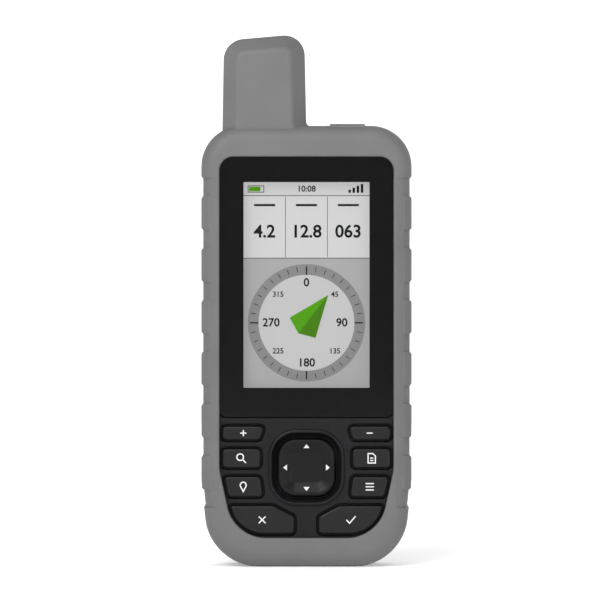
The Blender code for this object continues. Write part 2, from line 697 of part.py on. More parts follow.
def make_rear(hollow):
    """Rear housing: battery bay, door frame, lock socket, screw columns and power key pocket."""
    rear = skin_form("rear_housing", 0, EDGE, AERIAL_CHAMFER)
    cut(rear, half_space("before_parting", Y_FRONT - PAST, Y_PART + FIT), hollow)
    inside = Y_BACK - EDGE
    frame_grow = RUN + BAY_WALL
    cap_floor = Y_BACK - CAP_THICK - FIT
    cup_floor = Y_BACK - DISH_DEPTH - CUP_WALL - FIT
    socket_floor = cup_floor - LOCK_SHAFT_LENGTH - FIT
    wide = BAY_HALF + BAY_WALL
    bay_z = (BAY_START - BAY_WALL, BAY_END + BAY_WALL)
    join(
        rear,
        plate("door_frame", door_outline(frame_grow), Y_REBATE - BAY_WALL, inside),
        box("bay_tub", (-wide, wide), (Y_BAY, inside), bay_z),
        rod("lock_tub", (0, socket_floor - CUP_WALL, LOCK_Z), (0, inside, LOCK_Z), CUP_RADIUS + RUN + CUP_WALL),
        plate("socket_tub", cap_outline(frame_grow), cap_floor - BAY_WALL, inside),
    )
    for index, (x, z) in enumerate(screw_places()):
        seat = Y_PART + SCREW_GRIP
        join(rear, rod(f"column_{index}", (x, Y_PART + FIT, z), (x, inside, z), BOSS_RADIUS + CUP_WALL))
        cut(rear, rod(f"bore_{index}", (x, Y_PART - PAST, z), (x, Y_BACK, z), SCREW_RADIUS + FIT))
        cut(rear, rod(f"counterbore_{index}", (x, seat, z), (x, Y_BACK + PAST, z), SCREW_HEAD_RADIUS + FIT))
    socket_z = (CAP_BOTTOM + CAP_TOP) / 2
    beyond = Y_BACK + PAST
    power_x = around(POWER_X, POWER_WIDTH + 2 * RUN)
    power_y = around(Y_POWER, POWER_DEPTH + 2 * RUN)
    pad_x = around(POWER_X, PAD_WIDTH + 2 * RUN)
    pad_y = around(Y_POWER, PAD_DEPTH + 2 * RUN)
    cut(
        rear,
        plate("door_rebate", door_outline(RUN), Y_REBATE, beyond),
        box("bay_room", (-BAY_HALF, BAY_HALF), (Y_BAY + BAY_WALL, beyond), (BAY_START, BAY_END)),
        rod("cup_room", (0, cup_floor, LOCK_Z), (0, beyond, LOCK_Z), CUP_RADIUS + RUN, ROUND_SIDES),
        rod("lug_room", (0, socket_floor, LOCK_Z), (0, beyond, LOCK_Z), LOCK_LUG_HALF + RUN),
        plate("cap_rebate", cap_outline(RUN), cap_floor, beyond),
        box("socket_mouth", around(0, USB_WIDTH + 2 * RUN), (cap_floor - BAY_WALL - PAST, beyond),
            around(socket_z, USB_HEIGHT + 2 * RUN)),
        box("pad_pocket", pad_x, pad_y, (UNIT_TOP - POWER_POCKET, UNIT_TOP + PAST)),
        box("power_hole", power_x, power_y, (UNIT_TOP - HOUSING_WALL - PAST, UNIT_TOP + PAST)),
    )
    groove_far = Y_PART + FIT + SEAL_THICK + FIT
    groove = ring_form("seal_groove", SEAL_INSET, SEAL_INSET + SEAL_WIDTH + 2 * FIT, Y_PART - PAST, groove_far)
    cut(rear, groove)
    finish([rear], "dark_housing", (0.13, 0.13, 0.14), 0.55)
    seal_outer = SEAL_INSET + FIT
    seal = ring_form("housing_seal", seal_outer, seal_outer + SEAL_WIDTH, Y_PART + FIT, Y_PART + FIT + SEAL_THICK)
    finish([seal], "seal_rubber", (0.1, 0.1, 0.1), 0.85)


def ring_form(name, outer, inner, near, far):
    """Flat band that follows the housing's rim, between two insets from its outside."""
    band = unit_form(name, -outer, (near, far), (near + NUDGE, far - NUDGE))
    deep = (near - PAST, far + PAST)
    return cut(band, unit_form(name + "_inside", -inner, deep, deep))


def make_screws():
    """Screws that draw the halves together, heads sunk in the rear housing."""
    screws = []
    to_back = Matrix.Rotation(-math.pi / 2, 4, "X")
    for index, (x, z) in enumerate(screw_places()):
        profile = [
            (0, SCREW_HEAD),
            (SCREW_HEAD_RADIUS, SCREW_HEAD),
            (SCREW_HEAD_RADIUS, 0),
            (SCREW_RADIUS, 0),
            (SCREW_RADIUS, -SCREW_GRIP - SCREW_BITE + FIT),
            (0, -SCREW_GRIP - SCREW_BITE + FIT),
        ]
        place = Matrix.Translation((x, Y_PART + SCREW_GRIP + FIT, z)) @ to_back
        screws.append(turned(f"housing_screw_{index + 1}", profile, place, SMALL_SIDES))
    finish(screws, "screw_steel", (0.6, 0.6, 0.6), 0.35, 1.0)


def make_keys():
    """Eight rubber keys with flanges behind the fascia, their mat and the dome sheet."""
    keys = []
    mat_near = Y_WALL + FIT + KEY_FLANGE + KEY_TRAVEL + RUN
    mat_corners = [
        (BOSS_FOOT - BOSS_RADIUS - KEY_SPREAD, KEY_BOTTOM, KEY_RADIUS),
        (BOARD_HALF, KEY_BOTTOM + BOSS_RADIUS + BOSS_FOOT_RISE, KEY_RADIUS),
        (BOARD_HALF, LENS_BOTTOM - FIT, KEY_RADIUS),
    ]
    sheet = mat_corners + mirrored(mat_corners)
    mat = plate("key_mat", sheet, mat_near, mat_near + MAT_THICK)
    domes = plate("dome_sheet", sheet, Y_DOME, Y_DOME + DOME_THICK)
    for name, outline in all_keys():
        key = plate(name, outline, Y_FRONT - KEY_PROUD, Y_WALL + FIT + KEY_FLANGE / 2)
        soften(key, KEY_PROUD / 2)
        flange_near = Y_WALL + FIT
        flange = offset(outline, KEY_SPREAD)
        join(key, plate(name + "_flange", flange, flange_near, flange_near + KEY_FLANGE))
        x, z = stem_place(outline)
        stem_end = Y_DOME - KEY_TRAVEL - FIT / 2
        join(key, rod(name + "_stem", (x, Y_WALL, z), (x, stem_end, z), STEM_RADIUS))
        cut(mat, rod(name + "_mat_hole", (x, Y_WALL, z), (x, Y_DOME, z), STEM_RADIUS + RUN))
        keys.append(key)
    pivot_hole = rod("pivot_mat_hole", (0, Y_WALL, RING_Z), (0, Y_DOME, RING_Z), PIVOT_RADIUS + KEY_GAP)
    cut(mat, pivot_hole)
    finish(keys, "key_rubber", (0.2, 0.2, 0.2), 0.6)
    finish([mat], "mat_rubber", (0.25, 0.25, 0.25), 0.8)
    finish([domes], "dome_film", (0.75, 0.75, 0.72), 0.4)


def make_rocker():
    """Four-way rocker, dished round a flat square middle, on a tilting pivot."""
    top = Y_FRONT - RING_PROUD
    rocker = plate("rocker_pad", rocker_outline(ROCKER_HALF, ROCKER_RADIUS), top, top + ROCKER_THICK)
    shape = bmesh.new()
    shape.from_mesh(rocker.data)
    face = min(shape.faces, key=lambda each: each.calc_center_median().y)
    bmesh.ops.inset_region(shape, faces=[face], thickness=ROCKER_RIM, use_even_offset=True)
    slope = ROCKER_HALF - ROCKER_CENTRE - ROCKER_RIM
    bmesh.ops.inset_region(shape, faces=[face], thickness=slope, depth=-ROCKER_DISH, use_even_offset=True)
    shape.to_mesh(rocker.data)
    shape.free()
    back = top + ROCKER_THICK
    recess = back - ROCKER_DISH
    hole_radius = PIVOT_RADIUS + KEY_GAP
    cut(rocker, rod("pivot_recess", (0, recess, RING_Z), (0, back + PAST, RING_Z), hole_radius))
    post = rod("rocker_pivot", (0, recess + RUN, RING_Z), (0, Y_DOME - 2 * FIT, RING_Z), PIVOT_RADIUS)
    pivot("rocker_axis", (0, recess, RING_Z), rocker, post)
    finish([rocker], "rocker_rubber", (0.2, 0.2, 0.2), 0.55)
    finish([post], "pivot_plastic", (0.3, 0.3, 0.3), 0.5)


def make_power_key():
    """Plunger under the sleeve's pad, kept in by a flange inside the housing."""
    under = UNIT_TOP - HOUSING_WALL - RUN
    key = box("power_key", around(POWER_X, POWER_WIDTH), around(Y_POWER, POWER_DEPTH),
              (under - POWER_FLANGE / 2, UNIT_TOP))
    soften(key, FIT)
    flange_x = around(POWER_X, POWER_WIDTH + 2 * POWER_FLANGE)
    flange_y = around(Y_POWER, POWER_DEPTH + 2 * POWER_FLANGE)
    join(key, box("power_flange", flange_x, flange_y, (under - POWER_FLANGE, under)))
    finish([key], "power_rubber", (0.12, 0.12, 0.12), 0.7)


def make_electronics():
    """Display, boards, socket, beeper and the aerial inside the stub."""
    lcd_half = DISPLAY_HALF + LCD_RIM
    lcd = rectangle(-lcd_half, lcd_half, DISPLAY_BOTTOM - LCD_RIM, DISPLAY_TOP + LCD_RIM, FIT)
    panel = plate("lcd_panel", lcd, Y_LCD, Y_LCD + LCD_THICK)
    tray = plate("backlight_tray", lcd, Y_TRAY, Y_TRAY + TRAY_THICK)
    cut(tray, plate("tray_room", offset(lcd, -CUP_WALL), Y_TRAY - PAST, Y_TRAY + TRAY_THICK - CUP_WALL))
    low = KEY_BOTTOM - KEY_SPREAD
    corner = BOSS_FOOT - BOSS_RADIUS - FIT
    right = [
        (corner, low, KEY_RADIUS),
        (BOARD_HALF, UNIT_BOTTOM + BOSS_FOOT_RISE + 2 * BOSS_RADIUS + FIT, KEY_RADIUS),
        (BOARD_HALF, UNIT_TOP - HOUSING_WALL - BOARD_THICK, KEY_RADIUS),
    ]
    board = plate("main_board", right + mirrored(right), Y_BOARD, Y_BOARD_BACK)
    can_z = (CAP_TOP + CUP_WALL, LENS_TOP - CUP_WALL)
    can_near = Y_BOARD_BACK + FIT
    can = box("shield_can", around(0, CAN_WIDTH), (can_near, can_near + CAN_DEPTH), can_z)
    room_z = (can_z[0] + FIT, can_z[1] - FIT)
    cut(can, box("can_room", around(0, CAN_WIDTH - 2 * FIT), (can_near - PAST, can_near + CAN_DEPTH - FIT), room_z))
    socket_z = (CAP_BOTTOM + CAP_TOP) / 2
    mouth = Y_BACK - CAP_THICK - FIT - CUP_WALL
    socket = box("usb_socket", around(0, USB_WIDTH), (mouth - USB_DEPTH, mouth), around(socket_z, USB_HEIGHT))
    wall = 2 * FIT
    cut(socket, box("usb_room", around(0, USB_WIDTH - wall), (mouth - USB_DEPTH + wall, mouth + PAST),
                    around(socket_z, USB_HEIGHT - wall)))
    board_top = socket_z - USB_HEIGHT / 2 - FIT
    inner_edge = mouth - BAY_WALL - PAST
    io_board = box("io_board", around(0, IO_WIDTH), (Y_BOARD_BACK + FIT, inner_edge),
                   (board_top - BOARD_THICK, board_top))
    buzzer_x = BOARD_HALF - BEEPER_RADIUS
    buzzer_near = Y_BOARD_BACK + FIT
    beeper = rod("beeper", (buzzer_x, buzzer_near, socket_z), (buzzer_x, buzzer_near + CAN_DEPTH, socket_z),
                 BEEPER_RADIUS, ROUND_SIDES)
    aerial_x = (AERIAL_LEFT + AERIAL_RIGHT) / 2
    aerial_y = (Y_FRONT + AERIAL_FRONT_SET + Y_BACK - AERIAL_BACK_SET) / 2
    tip = UNIT_TOP + AERIAL_RISE - 2 * HOUSING_WALL
    helix = rod("aerial_helix", (aerial_x, aerial_y, UNIT_TOP), (aerial_x, aerial_y, tip), HELIX_RADIUS,
                ROUND_SIDES)
    finish([panel], "lcd_glass", (0.78, 0.78, 0.78), 0.2)
    finish([tray], "tray_plastic", (0.9, 0.9, 0.9), 0.5)
    finish([board, io_board], "circuit_board", (0.05, 0.3, 0.15), 0.5)
    finish([can, socket], "tinned_steel", (0.75, 0.75, 0.75), 0.3, 1.0)
    finish([beeper], "beeper_plastic", (0.08, 0.08, 0.08), 0.5)
    finish([helix], "aerial_ceramic", (0.8, 0.75, 0.65), 0.4)


def coil(name, x, low):
    """Contact spring wound about the cell's axis, narrowing upward, ends lying straight."""
    points = []
    steps = SPRING_TURNS * SPRING_POINTS
    for step in range(steps + 1):
        share = step / steps
        angle = share * SPRING_TURNS * math.tau
        radius = SPRING_RADIUS - share * SPRING_TAPER
        height = low + SPRING_WIRE + share * (SPRING_LENGTH - 2 * SPRING_WIRE)
        points.append(Vector((x + radius * math.cos(angle), Y_CELL + radius * math.sin(angle), height)))
    straight = Vector((0, 2 * SPRING_WIRE, 0))
    points.insert(0, points[0] - straight)
    points.append(points[-1] + straight)
    gap = min((first - second).length for index, first in enumerate(points)
              for second in points[index + SPRING_POINTS // 2:]) - 2 * SPRING_WIRE
    print(f"{name}: least gap between turns {gap / MM:.2f} mm")
    return wire(name, points, SPRING_WIRE)


def make_cells():
    """Two cells lying head to foot, with their springs and contacts."""
    low = BAY_START + FIT + CONTACT_THICK + FIT
    high = BAY_END - FIT - CONTACT_THICK - FIT
    body = CELL_DIAMETER / 2
    nub = CELL_NUB_DIAMETER / 2
    profile = [
        (0, CELL_LENGTH),
        (nub, CELL_LENGTH),
        (nub, CELL_LENGTH - CELL_NUB_LENGTH),
        (body, CELL_LENGTH - CELL_NUB_LENGTH),
        (body, 0),
        (0, 0),
    ]
    up = Matrix.Translation((-CELL_X, Y_CELL, high - CELL_LENGTH))
    down = Matrix.Translation((CELL_X, Y_CELL, low + CELL_LENGTH)) @ Matrix.Rotation(math.pi, 4, "X")
    cells = [turned("cell_left", profile, up, ROUND_SIDES), turned("cell_right", profile, down, ROUND_SIDES)]
    springs = [coil("spring_left", -CELL_X, low), coil("spring_right", CELL_X, high - SPRING_LENGTH)]
    plate_y = around(Y_CELL, CELL_DIAMETER - 2 * CUP_WALL)
    inner = BAY_HALF - FIT
    link_z = (BAY_START + FIT, BAY_START + FIT + CONTACT_THICK)
    top_z = (BAY_END - FIT - CONTACT_THICK, BAY_END - FIT)
    plates = [
        box("link_plate", (-inner, inner), plate_y, link_z),
        box("contact_left", (-inner, -CUP_WALL), plate_y, top_z),
        box("contact_right", (CUP_WALL, inner), plate_y, top_z),
    ]
    finish(cells, "cell_wrap", (0.25, 0.3, 0.35), 0.35)
    finish(springs + plates, "nickel_contacts", (0.78, 0.77, 0.73), 0.25, 1.0)


def make_door():
    """Battery door with mounting spine, its seal, and the quarter-turn lock with a folding ring."""
    door = plate("battery_door", door_outline(0), Y_DOOR, Y_BACK)
    soften(door, FIT)
    cup_floor = Y_BACK - DISH_DEPTH - CUP_WALL
    dish_floor = Y_BACK - DISH_DEPTH
    join(door, rod("lock_cup", (0, cup_floor, LOCK_Z), (0, Y_BACK - FIT, LOCK_Z), CUP_RADIUS, ROUND_SIDES))
    spine_z = around((BAY_START + BAY_END) / 2, SPINE_LENGTH)
    neck = SPINE_HALF - SPINE_UNDERCUT
    head_near = Y_BACK + SPINE_NECK
    join(door, box("spine_neck", (-neck, neck), (Y_DOOR + CUP_WALL, head_near + CUP_WALL), spine_z))
    join(door, box("spine_head", (-SPINE_HALF, SPINE_HALF), (head_near, head_near + SPINE_HEAD), spine_z))
    cut(door, rod("lock_dish", (0, dish_floor, LOCK_Z), (0, Y_BACK + PAST, LOCK_Z), DISH_RADIUS, ROUND_SIDES))
    cut(door, rod("lock_hole", (0, Y_REBATE - DISH_DEPTH, LOCK_Z), (0, Y_BACK, LOCK_Z), LOCK_SHAFT_RADIUS + RUN))
    seal_near = Y_REBATE + FIT
    seal = plate("door_seal", door_outline(-DOOR_SEAL_INSET), seal_near, seal_near + SEAL_THICK)
    hole = door_outline(-DOOR_SEAL_INSET - DOOR_SEAL_WIDTH)
    cut(seal, plate("door_seal_hole", hole, seal_near - PAST, seal_near + PAST))
    disc_near = dish_floor + FIT
    disc_far = disc_near + LOCK_DISC_THICK
    shaft_end = cup_floor - LOCK_SHAFT_LENGTH
    lock = rod("door_lock", (0, disc_near, LOCK_Z), (0, disc_far, LOCK_Z), LOCK_DISC_RADIUS, ROUND_SIDES)
    soften(lock, FIT)
    join(lock, rod("lock_shaft", (0, shaft_end, LOCK_Z), (0, disc_far - FIT, LOCK_Z), LOCK_SHAFT_RADIUS))
    lug_y = (shaft_end + FIT, cup_floor - FIT - RUN)
    join(lock, box("lock_lug", around(0, 2 * LOCK_LUG_HALF - RUN), lug_y, around(LOCK_Z, LOCK_SHAFT_RADIUS)))
    bar_z = LOCK_Z + RING_BAR_RISE
    bar_y = Y_BACK - RING_BAR_DEPTH
    bore = RING_WIRE + FIT
    eye_reach = bore + RING_EYE_WALL
    eye_x = (-RING_EYE_HALF, RING_EYE_HALF)
    join(lock, box("ring_eye", eye_x, (disc_far - FIT, bar_y + eye_reach), around(bar_z, 2 * eye_reach)))
    across = RING_EYE_HALF + PAST
    cut(lock, rod("eye_bore", (-across, bar_y, bar_z), (across, bar_y, bar_z), bore))
    ring_corners = [
        (-RING_BAR_HALF, bar_z - RING_FALL, RING_BAR_HALF - FIT),
        (RING_BAR_HALF, bar_z - RING_FALL, RING_BAR_HALF - FIT),
        (RING_BAR_HALF, bar_z, RING_WIRE),
        (-RING_BAR_HALF, bar_z, RING_WIRE),
    ]
    ring = wire("lock_ring", [(point.x, bar_y, point.y) for point in rounded(ring_corners)], RING_WIRE, True)
    pivot("lock_axis", (0, Y_BACK, LOCK_Z), lock)
    pivot("ring_axis", (0, bar_y, bar_z), ring)
    finish([door], "door_plastic", (0.13, 0.13, 0.14), 0.55)
    finish([seal], "door_rubber", (0.1, 0.1, 0.1), 0.85)
    finish([lock, ring], "lock_metal", (0.5, 0.5, 0.5), 0.35, 1.0)


def make_socket_cap():
    """Rubber flap over the socket, hinged along its upper edge at the outer face."""
    cap = plate("usb_cap", cap_outline(0), Y_BACK - CAP_THICK, Y_BACK)
    soften(cap, FIT)
    pivot("cap_axis", (0, Y_BACK, CAP_TOP), cap)
    finish([cap], "cap_rubber", (0.12, 0.12, 0.12), 0.8)


for leftover in list(bpy.data.objects):
    bpy.data.objects.remove(leftover, do_unlink=True)
PARTS = bpy.data.collections.new("handheld_gps_unit")
CUTTERS = bpy.data.collections.new("cutters")
for group in (PARTS, CUTTERS):
    bpy.context.scene.collection.children.link(group)

room = housing_hollow()
make_sleeve()
make_front(room)
make_rear(room)
make_screws()
make_keys()
make_rocker()
make_power_key()
make_electronics()
make_cells()
make_door()
make_socket_cap()

for part in PARTS.objects:
    if part.type == "MESH":
        part.data.shade_smooth()
        part.data.set_sharp_from_angle(angle=math.radians(30))
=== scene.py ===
# %% [markdown]
# # A handheld navigator in its silicone sleeve
# The frame holds every solid of the unit at its real size, with the joints that move them.
# This lesson dresses it: soft silicone, moulded black plastic, rubber keys, a glass window
# over a lit display, and the metal lock on the back.
# Nothing here moves a solid. New pieces ride on the body that carries the real ones.

# %% Load the frame
import math
import bmesh
import bpy
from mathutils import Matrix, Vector


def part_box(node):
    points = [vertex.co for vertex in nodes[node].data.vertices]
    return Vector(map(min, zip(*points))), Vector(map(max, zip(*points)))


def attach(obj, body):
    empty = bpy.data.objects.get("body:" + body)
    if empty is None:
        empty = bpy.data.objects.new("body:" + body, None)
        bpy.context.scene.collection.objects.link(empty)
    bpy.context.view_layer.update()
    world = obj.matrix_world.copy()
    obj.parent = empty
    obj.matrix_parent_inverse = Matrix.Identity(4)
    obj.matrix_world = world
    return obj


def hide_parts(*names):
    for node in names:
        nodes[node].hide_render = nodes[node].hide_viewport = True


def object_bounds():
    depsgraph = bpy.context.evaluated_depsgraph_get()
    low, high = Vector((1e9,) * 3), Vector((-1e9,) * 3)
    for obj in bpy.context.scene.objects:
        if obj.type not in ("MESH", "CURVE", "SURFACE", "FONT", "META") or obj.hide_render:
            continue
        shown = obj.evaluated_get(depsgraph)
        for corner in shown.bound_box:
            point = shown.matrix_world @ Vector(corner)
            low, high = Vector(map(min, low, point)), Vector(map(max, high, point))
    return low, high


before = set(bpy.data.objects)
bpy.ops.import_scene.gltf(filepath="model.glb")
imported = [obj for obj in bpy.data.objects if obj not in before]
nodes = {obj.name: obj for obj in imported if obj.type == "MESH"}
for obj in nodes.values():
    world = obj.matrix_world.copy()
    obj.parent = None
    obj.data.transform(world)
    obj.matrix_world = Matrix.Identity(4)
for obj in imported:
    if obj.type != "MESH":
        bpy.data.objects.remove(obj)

CAD_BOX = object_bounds()
MM = 0.001

# %% [markdown]
# ## Sizes that everything else follows
# The planes of the unit come from the frame: the glass lies in the front plane, and the socket
# flap in the back plane. Corner radii and gaps are the real ones in millimetres.

# %% Planes and half widths of the unit
LENS_LOW, LENS_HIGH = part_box("lens_window")
CAP_LOW, CAP_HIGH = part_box("usb_cap")
UNIT_LOW, UNIT_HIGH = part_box("front_housing")
SLEEVE_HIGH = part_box("silicone_sleeve")[1]
DOOR_LOW, DOOR_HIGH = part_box("battery_door")
PAD_LOW, PAD_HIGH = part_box("sleeve_power_pad")
ROCKER_LOW, ROCKER_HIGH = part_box("rocker_pad")
FRONT = LENS_LOW.y
BACK = CAP_HIGH.y
UNIT_HALF = UNIT_HIGH.x
SKIN = SLEEVE_HIGH.x - UNIT_HALF
FIT = 0.3 * MM
UNIT_BOTTOM = UNIT_LOW.z
# The power pad lies a fit above the top of the unit.
UNIT_TOP = PAD_LOW.z - FIT
print(f"unit {2 * UNIT_HALF / MM:.1f} mm wide, front at {FRONT / MM:.2f} mm, back at {BACK / MM:.2f} mm")

# %% [markdown]
# ## Modelling helpers
# Most pieces start as a flat panel in the front view. A circle primitive gives one vertex per
# corner, each is moved to its place, and a vertex bevel rounds it. That is quicker to change than
# a drawn curve, because a corner keeps its own radius.

# %% Panels with rounded corners
SMOOTH_STEP = math.radians(7)
LEAST_STEPS = 3
SAME_PLACE = 1e-6
# A tool that starts right on a surface leaves slivers, so it starts this far clear of it.
CLEAR_OF_PLANE = 0.01 * MM


def corner_slide(corners, index):
    """How far a corner's rounding starts from it, and the turn that the rounding makes."""
    here = Vector(corners[index][:2])
    to_last = (Vector(corners[index - 1][:2]) - here).normalized()
    to_next = (Vector(corners[(index + 1) % len(corners)][:2]) - here).normalized()
    angle = to_last.angle(to_next)
    return corners[index][2] / math.tan(angle / 2), math.pi - angle


def choose(piece):
    """Make one piece the active one, and the only one selected."""
    bpy.ops.object.select_all(action="DESELECT")
    piece.select_set(True)
    bpy.context.view_layer.objects.active = piece


def edit(piece):
    """Open one piece for editing, with nothing selected in it."""
    choose(piece)
    bpy.ops.object.mode_set(mode="EDIT")
    bpy.ops.mesh.select_all(action="DESELECT")


def pick(piece, kind, test):
    """Select the vertices, edges or faces that pass a test."""
    bpy.ops.mesh.select_mode(type=kind)
    shape = bmesh.from_edit_mesh(piece.data)
    group = {"VERT": shape.verts, "EDGE": shape.edges, "FACE": shape.faces}[kind]
    for item in group:
        item.select_set(bool(test(item)))
    shape.select_flush_mode()
    bmesh.update_edit_mesh(piece.data)


def panel(name, corners, depth):
    """Flat panel at one depth, its corners given as x, z and radius, anticlockwise from the front."""
    bpy.ops.object.select_all(action="DESELECT")
    bpy.ops.mesh.primitive_circle_add(vertices=len(corners), radius=1, fill_type="NGON")
    piece = bpy.context.object
    piece.name = name
    piece.data.name = name
    order = piece.data.polygons[0].vertices
    for vertex, (x, z, _) in zip(order, corners):
        piece.data.vertices[vertex].co = (x, depth, z)
    edit(piece)
    for index, (x, z, radius) in enumerate(corners):
        if radius == 0:
            continue
        slide, turn = corner_slide(corners, index)
        place = Vector((x, depth, z))
        pick(piece, "VERT", lambda vertex: (vertex.co - place).length < SAME_PLACE)
        steps = max(LEAST_STEPS, round(turn / SMOOTH_STEP))
        bpy.ops.mesh.bevel(affect="VERTICES", offset=slide, segments=steps, profile=0.5,
                           clamp_overlap=False)
    bpy.ops.object.mode_set(mode="OBJECT")
    return piece


def solid(piece, depth):
    """Extrude a panel straight back."""
    edit(piece)
    bpy.ops.mesh.select_all(action="SELECT")
    bpy.ops.mesh.extrude_region_move(TRANSFORM_OT_translate={"value": (0, depth, 0)})
    bpy.ops.mesh.select_all(action="SELECT")
    bpy.ops.mesh.normals_make_consistent(inside=False)
    bpy.ops.object.mode_set(mode="OBJECT")
    return piece


def round_rim(piece, depth, width, steps=6):
    """Bevel the edges that lie in the plane at one depth."""
    edit(piece)
    pick(piece, "EDGE", lambda edge: all(abs(end.co.y - depth) < SAME_PLACE for end in edge.verts))
    bpy.ops.mesh.bevel(affect="EDGES", offset=width, segments=steps, profile=0.5, clamp_overlap=False)
    bpy.ops.object.mode_set(mode="OBJECT")
    return piece


def quarter_turn(steps):
    """Start and end angle of each step of a quarter turn."""
    angles = [math.radians(90 * step / steps) for step in range(steps + 1)]
    return zip(angles, angles[1:])


def lipped_cutter(name, corners, outside, surface, inside, lip, steps=5):
    """Cutter for an opening whose edge is rounded where it meets a flat surface.

    The rounding is on the cutter, because a bevel after many cuts meets slivers and fails.
    """
    way = math.copysign(1, inside - surface)
    start = surface - way * CLEAR_OF_PLANE
    tool = solid(panel(name, grown(corners, lip), outside), start - outside)
    edit(tool)
    pick(tool, "FACE", lambda face: abs(face.calc_center_median().y - start) < SAME_PLACE)
    for last, angle in quarter_turn(steps):
        inward = lip * (math.sin(angle) - math.sin(last))
        deeper = lip * (math.cos(last) - math.cos(angle))
        bpy.ops.mesh.inset(thickness=inward, depth=deeper)
    rest = inside - start - way * lip
    bpy.ops.mesh.extrude_region_move(TRANSFORM_OT_translate={"value": (0, rest, 0)})
    bpy.ops.object.mode_set(mode="OBJECT")
    return tool


def settle(name):
    """Name the piece just made, and apply its place, turn and size to its mesh."""
    bpy.ops.object.transform_apply(location=True, rotation=True, scale=True)
    piece = bpy.context.object
    piece.name = name
    return piece


def block(name, low, high):
    """Box between two corners."""
    low = Vector(low)
    high = Vector(high)
    bpy.ops.object.select_all(action="DESELECT")
    bpy.ops.mesh.primitive_cube_add(size=1, location=(low + high) / 2)
    bpy.context.object.scale = high - low
    return settle(name)


def apply_modifier(piece, kind, **settings):
    """Add a modifier with its settings and apply it."""
    modifier = piece.modifiers.new(kind.lower(), kind)
    for key, value in settings.items():
        setattr(modifier, key, value)
    choose(piece)
    bpy.ops.object.modifier_apply(modifier=modifier.name)
    return piece


def combine(piece, tool, operation):
    """Boolean with a tool that is used up."""
    apply_modifier(piece, "BOOLEAN", operation=operation, object=tool)
    bpy.data.objects.remove(tool, do_unlink=True)
    return piece


def joined(name, pieces):
    """Several meshes made one."""
    bpy.ops.object.select_all(action="DESELECT")
    for piece in pieces:
        piece.select_set(True)
    bpy.context.view_layer.objects.active = pieces[0]
    bpy.ops.object.join()
    pieces[0].name = name
    pieces[0].data.name = name
    return pieces[0]


def soften(piece, width, steps=3, angle=35):
    """Round every sharp edge a little, then shade smooth with flat faces kept flat."""
    apply_modifier(piece, "BEVEL", width=width, segments=steps, limit_method="ANGLE",
                   angle_limit=math.radians(angle), miter_outer="MITER_ARC")
    return smooth(piece)


def smooth(piece, angle=30):
    """Shade smooth, with large faces ruling the normals so that they stay flat to the eye."""
    choose(piece)
    bpy.ops.object.shade_smooth_by_angle(angle=math.radians(angle))
    return apply_modifier(piece, "WEIGHTED_NORMAL", keep_sharp=True)


def mitre(before, after):
    """Way from a corner to its place on an outline that lies one unit further out."""
    out_before = Vector((before.y, -before.x))
    out_after = Vector((after.y, -after.x))
    return (out_before + out_after) / (1 + out_before.dot(out_after))


def grown(corners, grow):
    """Outline moved outward on every side, corners staying concentric."""
    moved = []
    for index, (x, z, radius) in enumerate(corners):
        last = corners[index - 1]
        following = corners[(index + 1) % len(corners)]
        before = Vector((x - last[0], z - last[1])).normalized()
        after = Vector((following[0] - x, following[1] - z)).normalized()
        way = mitre(before, after)
        hollow = before.x * after.y - before.y * after.x < 0
        new_radius = radius - grow if hollow else radius + grow
        moved.append((x + way.x * grow, z + way.y * grow, max(new_radius, 0) if radius else 0))
    return moved


def mirrored(corners):
    """Outline of the other side, still anticlockwise."""
    return [(-x, z, radius) for x, z, radius in reversed(corners)]


def rectangle(left, right, bottom, top, radius):
    """Outline with four equal corners."""
    return [(left, bottom, radius), (right, bottom, radius), (right, top, radius), (left, top, radius)]


# %% [markdown]
# ## The body of the unit and its sleeve
# The sleeve is one silicone moulding that follows the unit all round, so both come from the same
# outline: a foot that leans in, straight sides, round shoulders and an aerial stub with a sloping top.
# The form is grown by the sleeve's wall for the outside and by a small fit for the inside.

# %% Outlines seen from the front
FOOT_LEAN = 0.107
FOOT_KNEE = 27 * MM
FOOT_CORNER = 14.4 * MM
KNEE_CORNER = 30 * MM
SHOULDER_CORNER = 10.6 * MM
FOOT_HALF = UNIT_HALF - FOOT_LEAN * (FOOT_KNEE - UNIT_BOTTOM)
RIGHT_SIDE = [
    (FOOT_HALF, UNIT_BOTTOM, FOOT_CORNER),
    (UNIT_HALF, FOOT_KNEE, KNEE_CORNER),
    (UNIT_HALF, UNIT_TOP, SHOULDER_CORNER),
]
BODY = RIGHT_SIDE + mirrored(RIGHT_SIDE)
AERIAL_LEFT = -24.5 * MM
AERIAL_RIGHT = -2.3 * MM
AERIAL_HEIGHT = 29.1 * MM
AERIAL_TOP = UNIT_TOP + AERIAL_HEIGHT
AERIAL_FOOT = 8 * MM
AERIAL_TAPER = 0.6 * MM
AERIAL_SLOPE = 0.085
AERIAL_DROP = AERIAL_SLOPE * (AERIAL_RIGHT - AERIAL_LEFT)
AERIAL_FILLET = 3.9 * MM
AERIAL_CORNER = 4.2 * MM
OVERLAP = 0.05 * MM
SUNK = UNIT_TOP - OVERLAP
AERIAL = [
    (AERIAL_LEFT, UNIT_TOP - AERIAL_FOOT, 0),
    (AERIAL_RIGHT + AERIAL_FOOT, UNIT_TOP - AERIAL_FOOT, 0),
    (AERIAL_RIGHT + AERIAL_FOOT, SUNK, 0),
    (AERIAL_RIGHT, SUNK, AERIAL_FILLET),
    (AERIAL_RIGHT - AERIAL_TAPER, AERIAL_TOP, AERIAL_CORNER),
    (AERIAL_LEFT + AERIAL_TAPER, AERIAL_TOP - AERIAL_DROP, AERIAL_CORNER),
]
AERIAL_FRONT = FRONT + 2 * MM
AERIAL_BACK = BACK - 6 * MM
EDGE = 1.5 * MM
SLEEVE_EDGE = 5.0 * MM
CHAMFER = 2.1 * MM
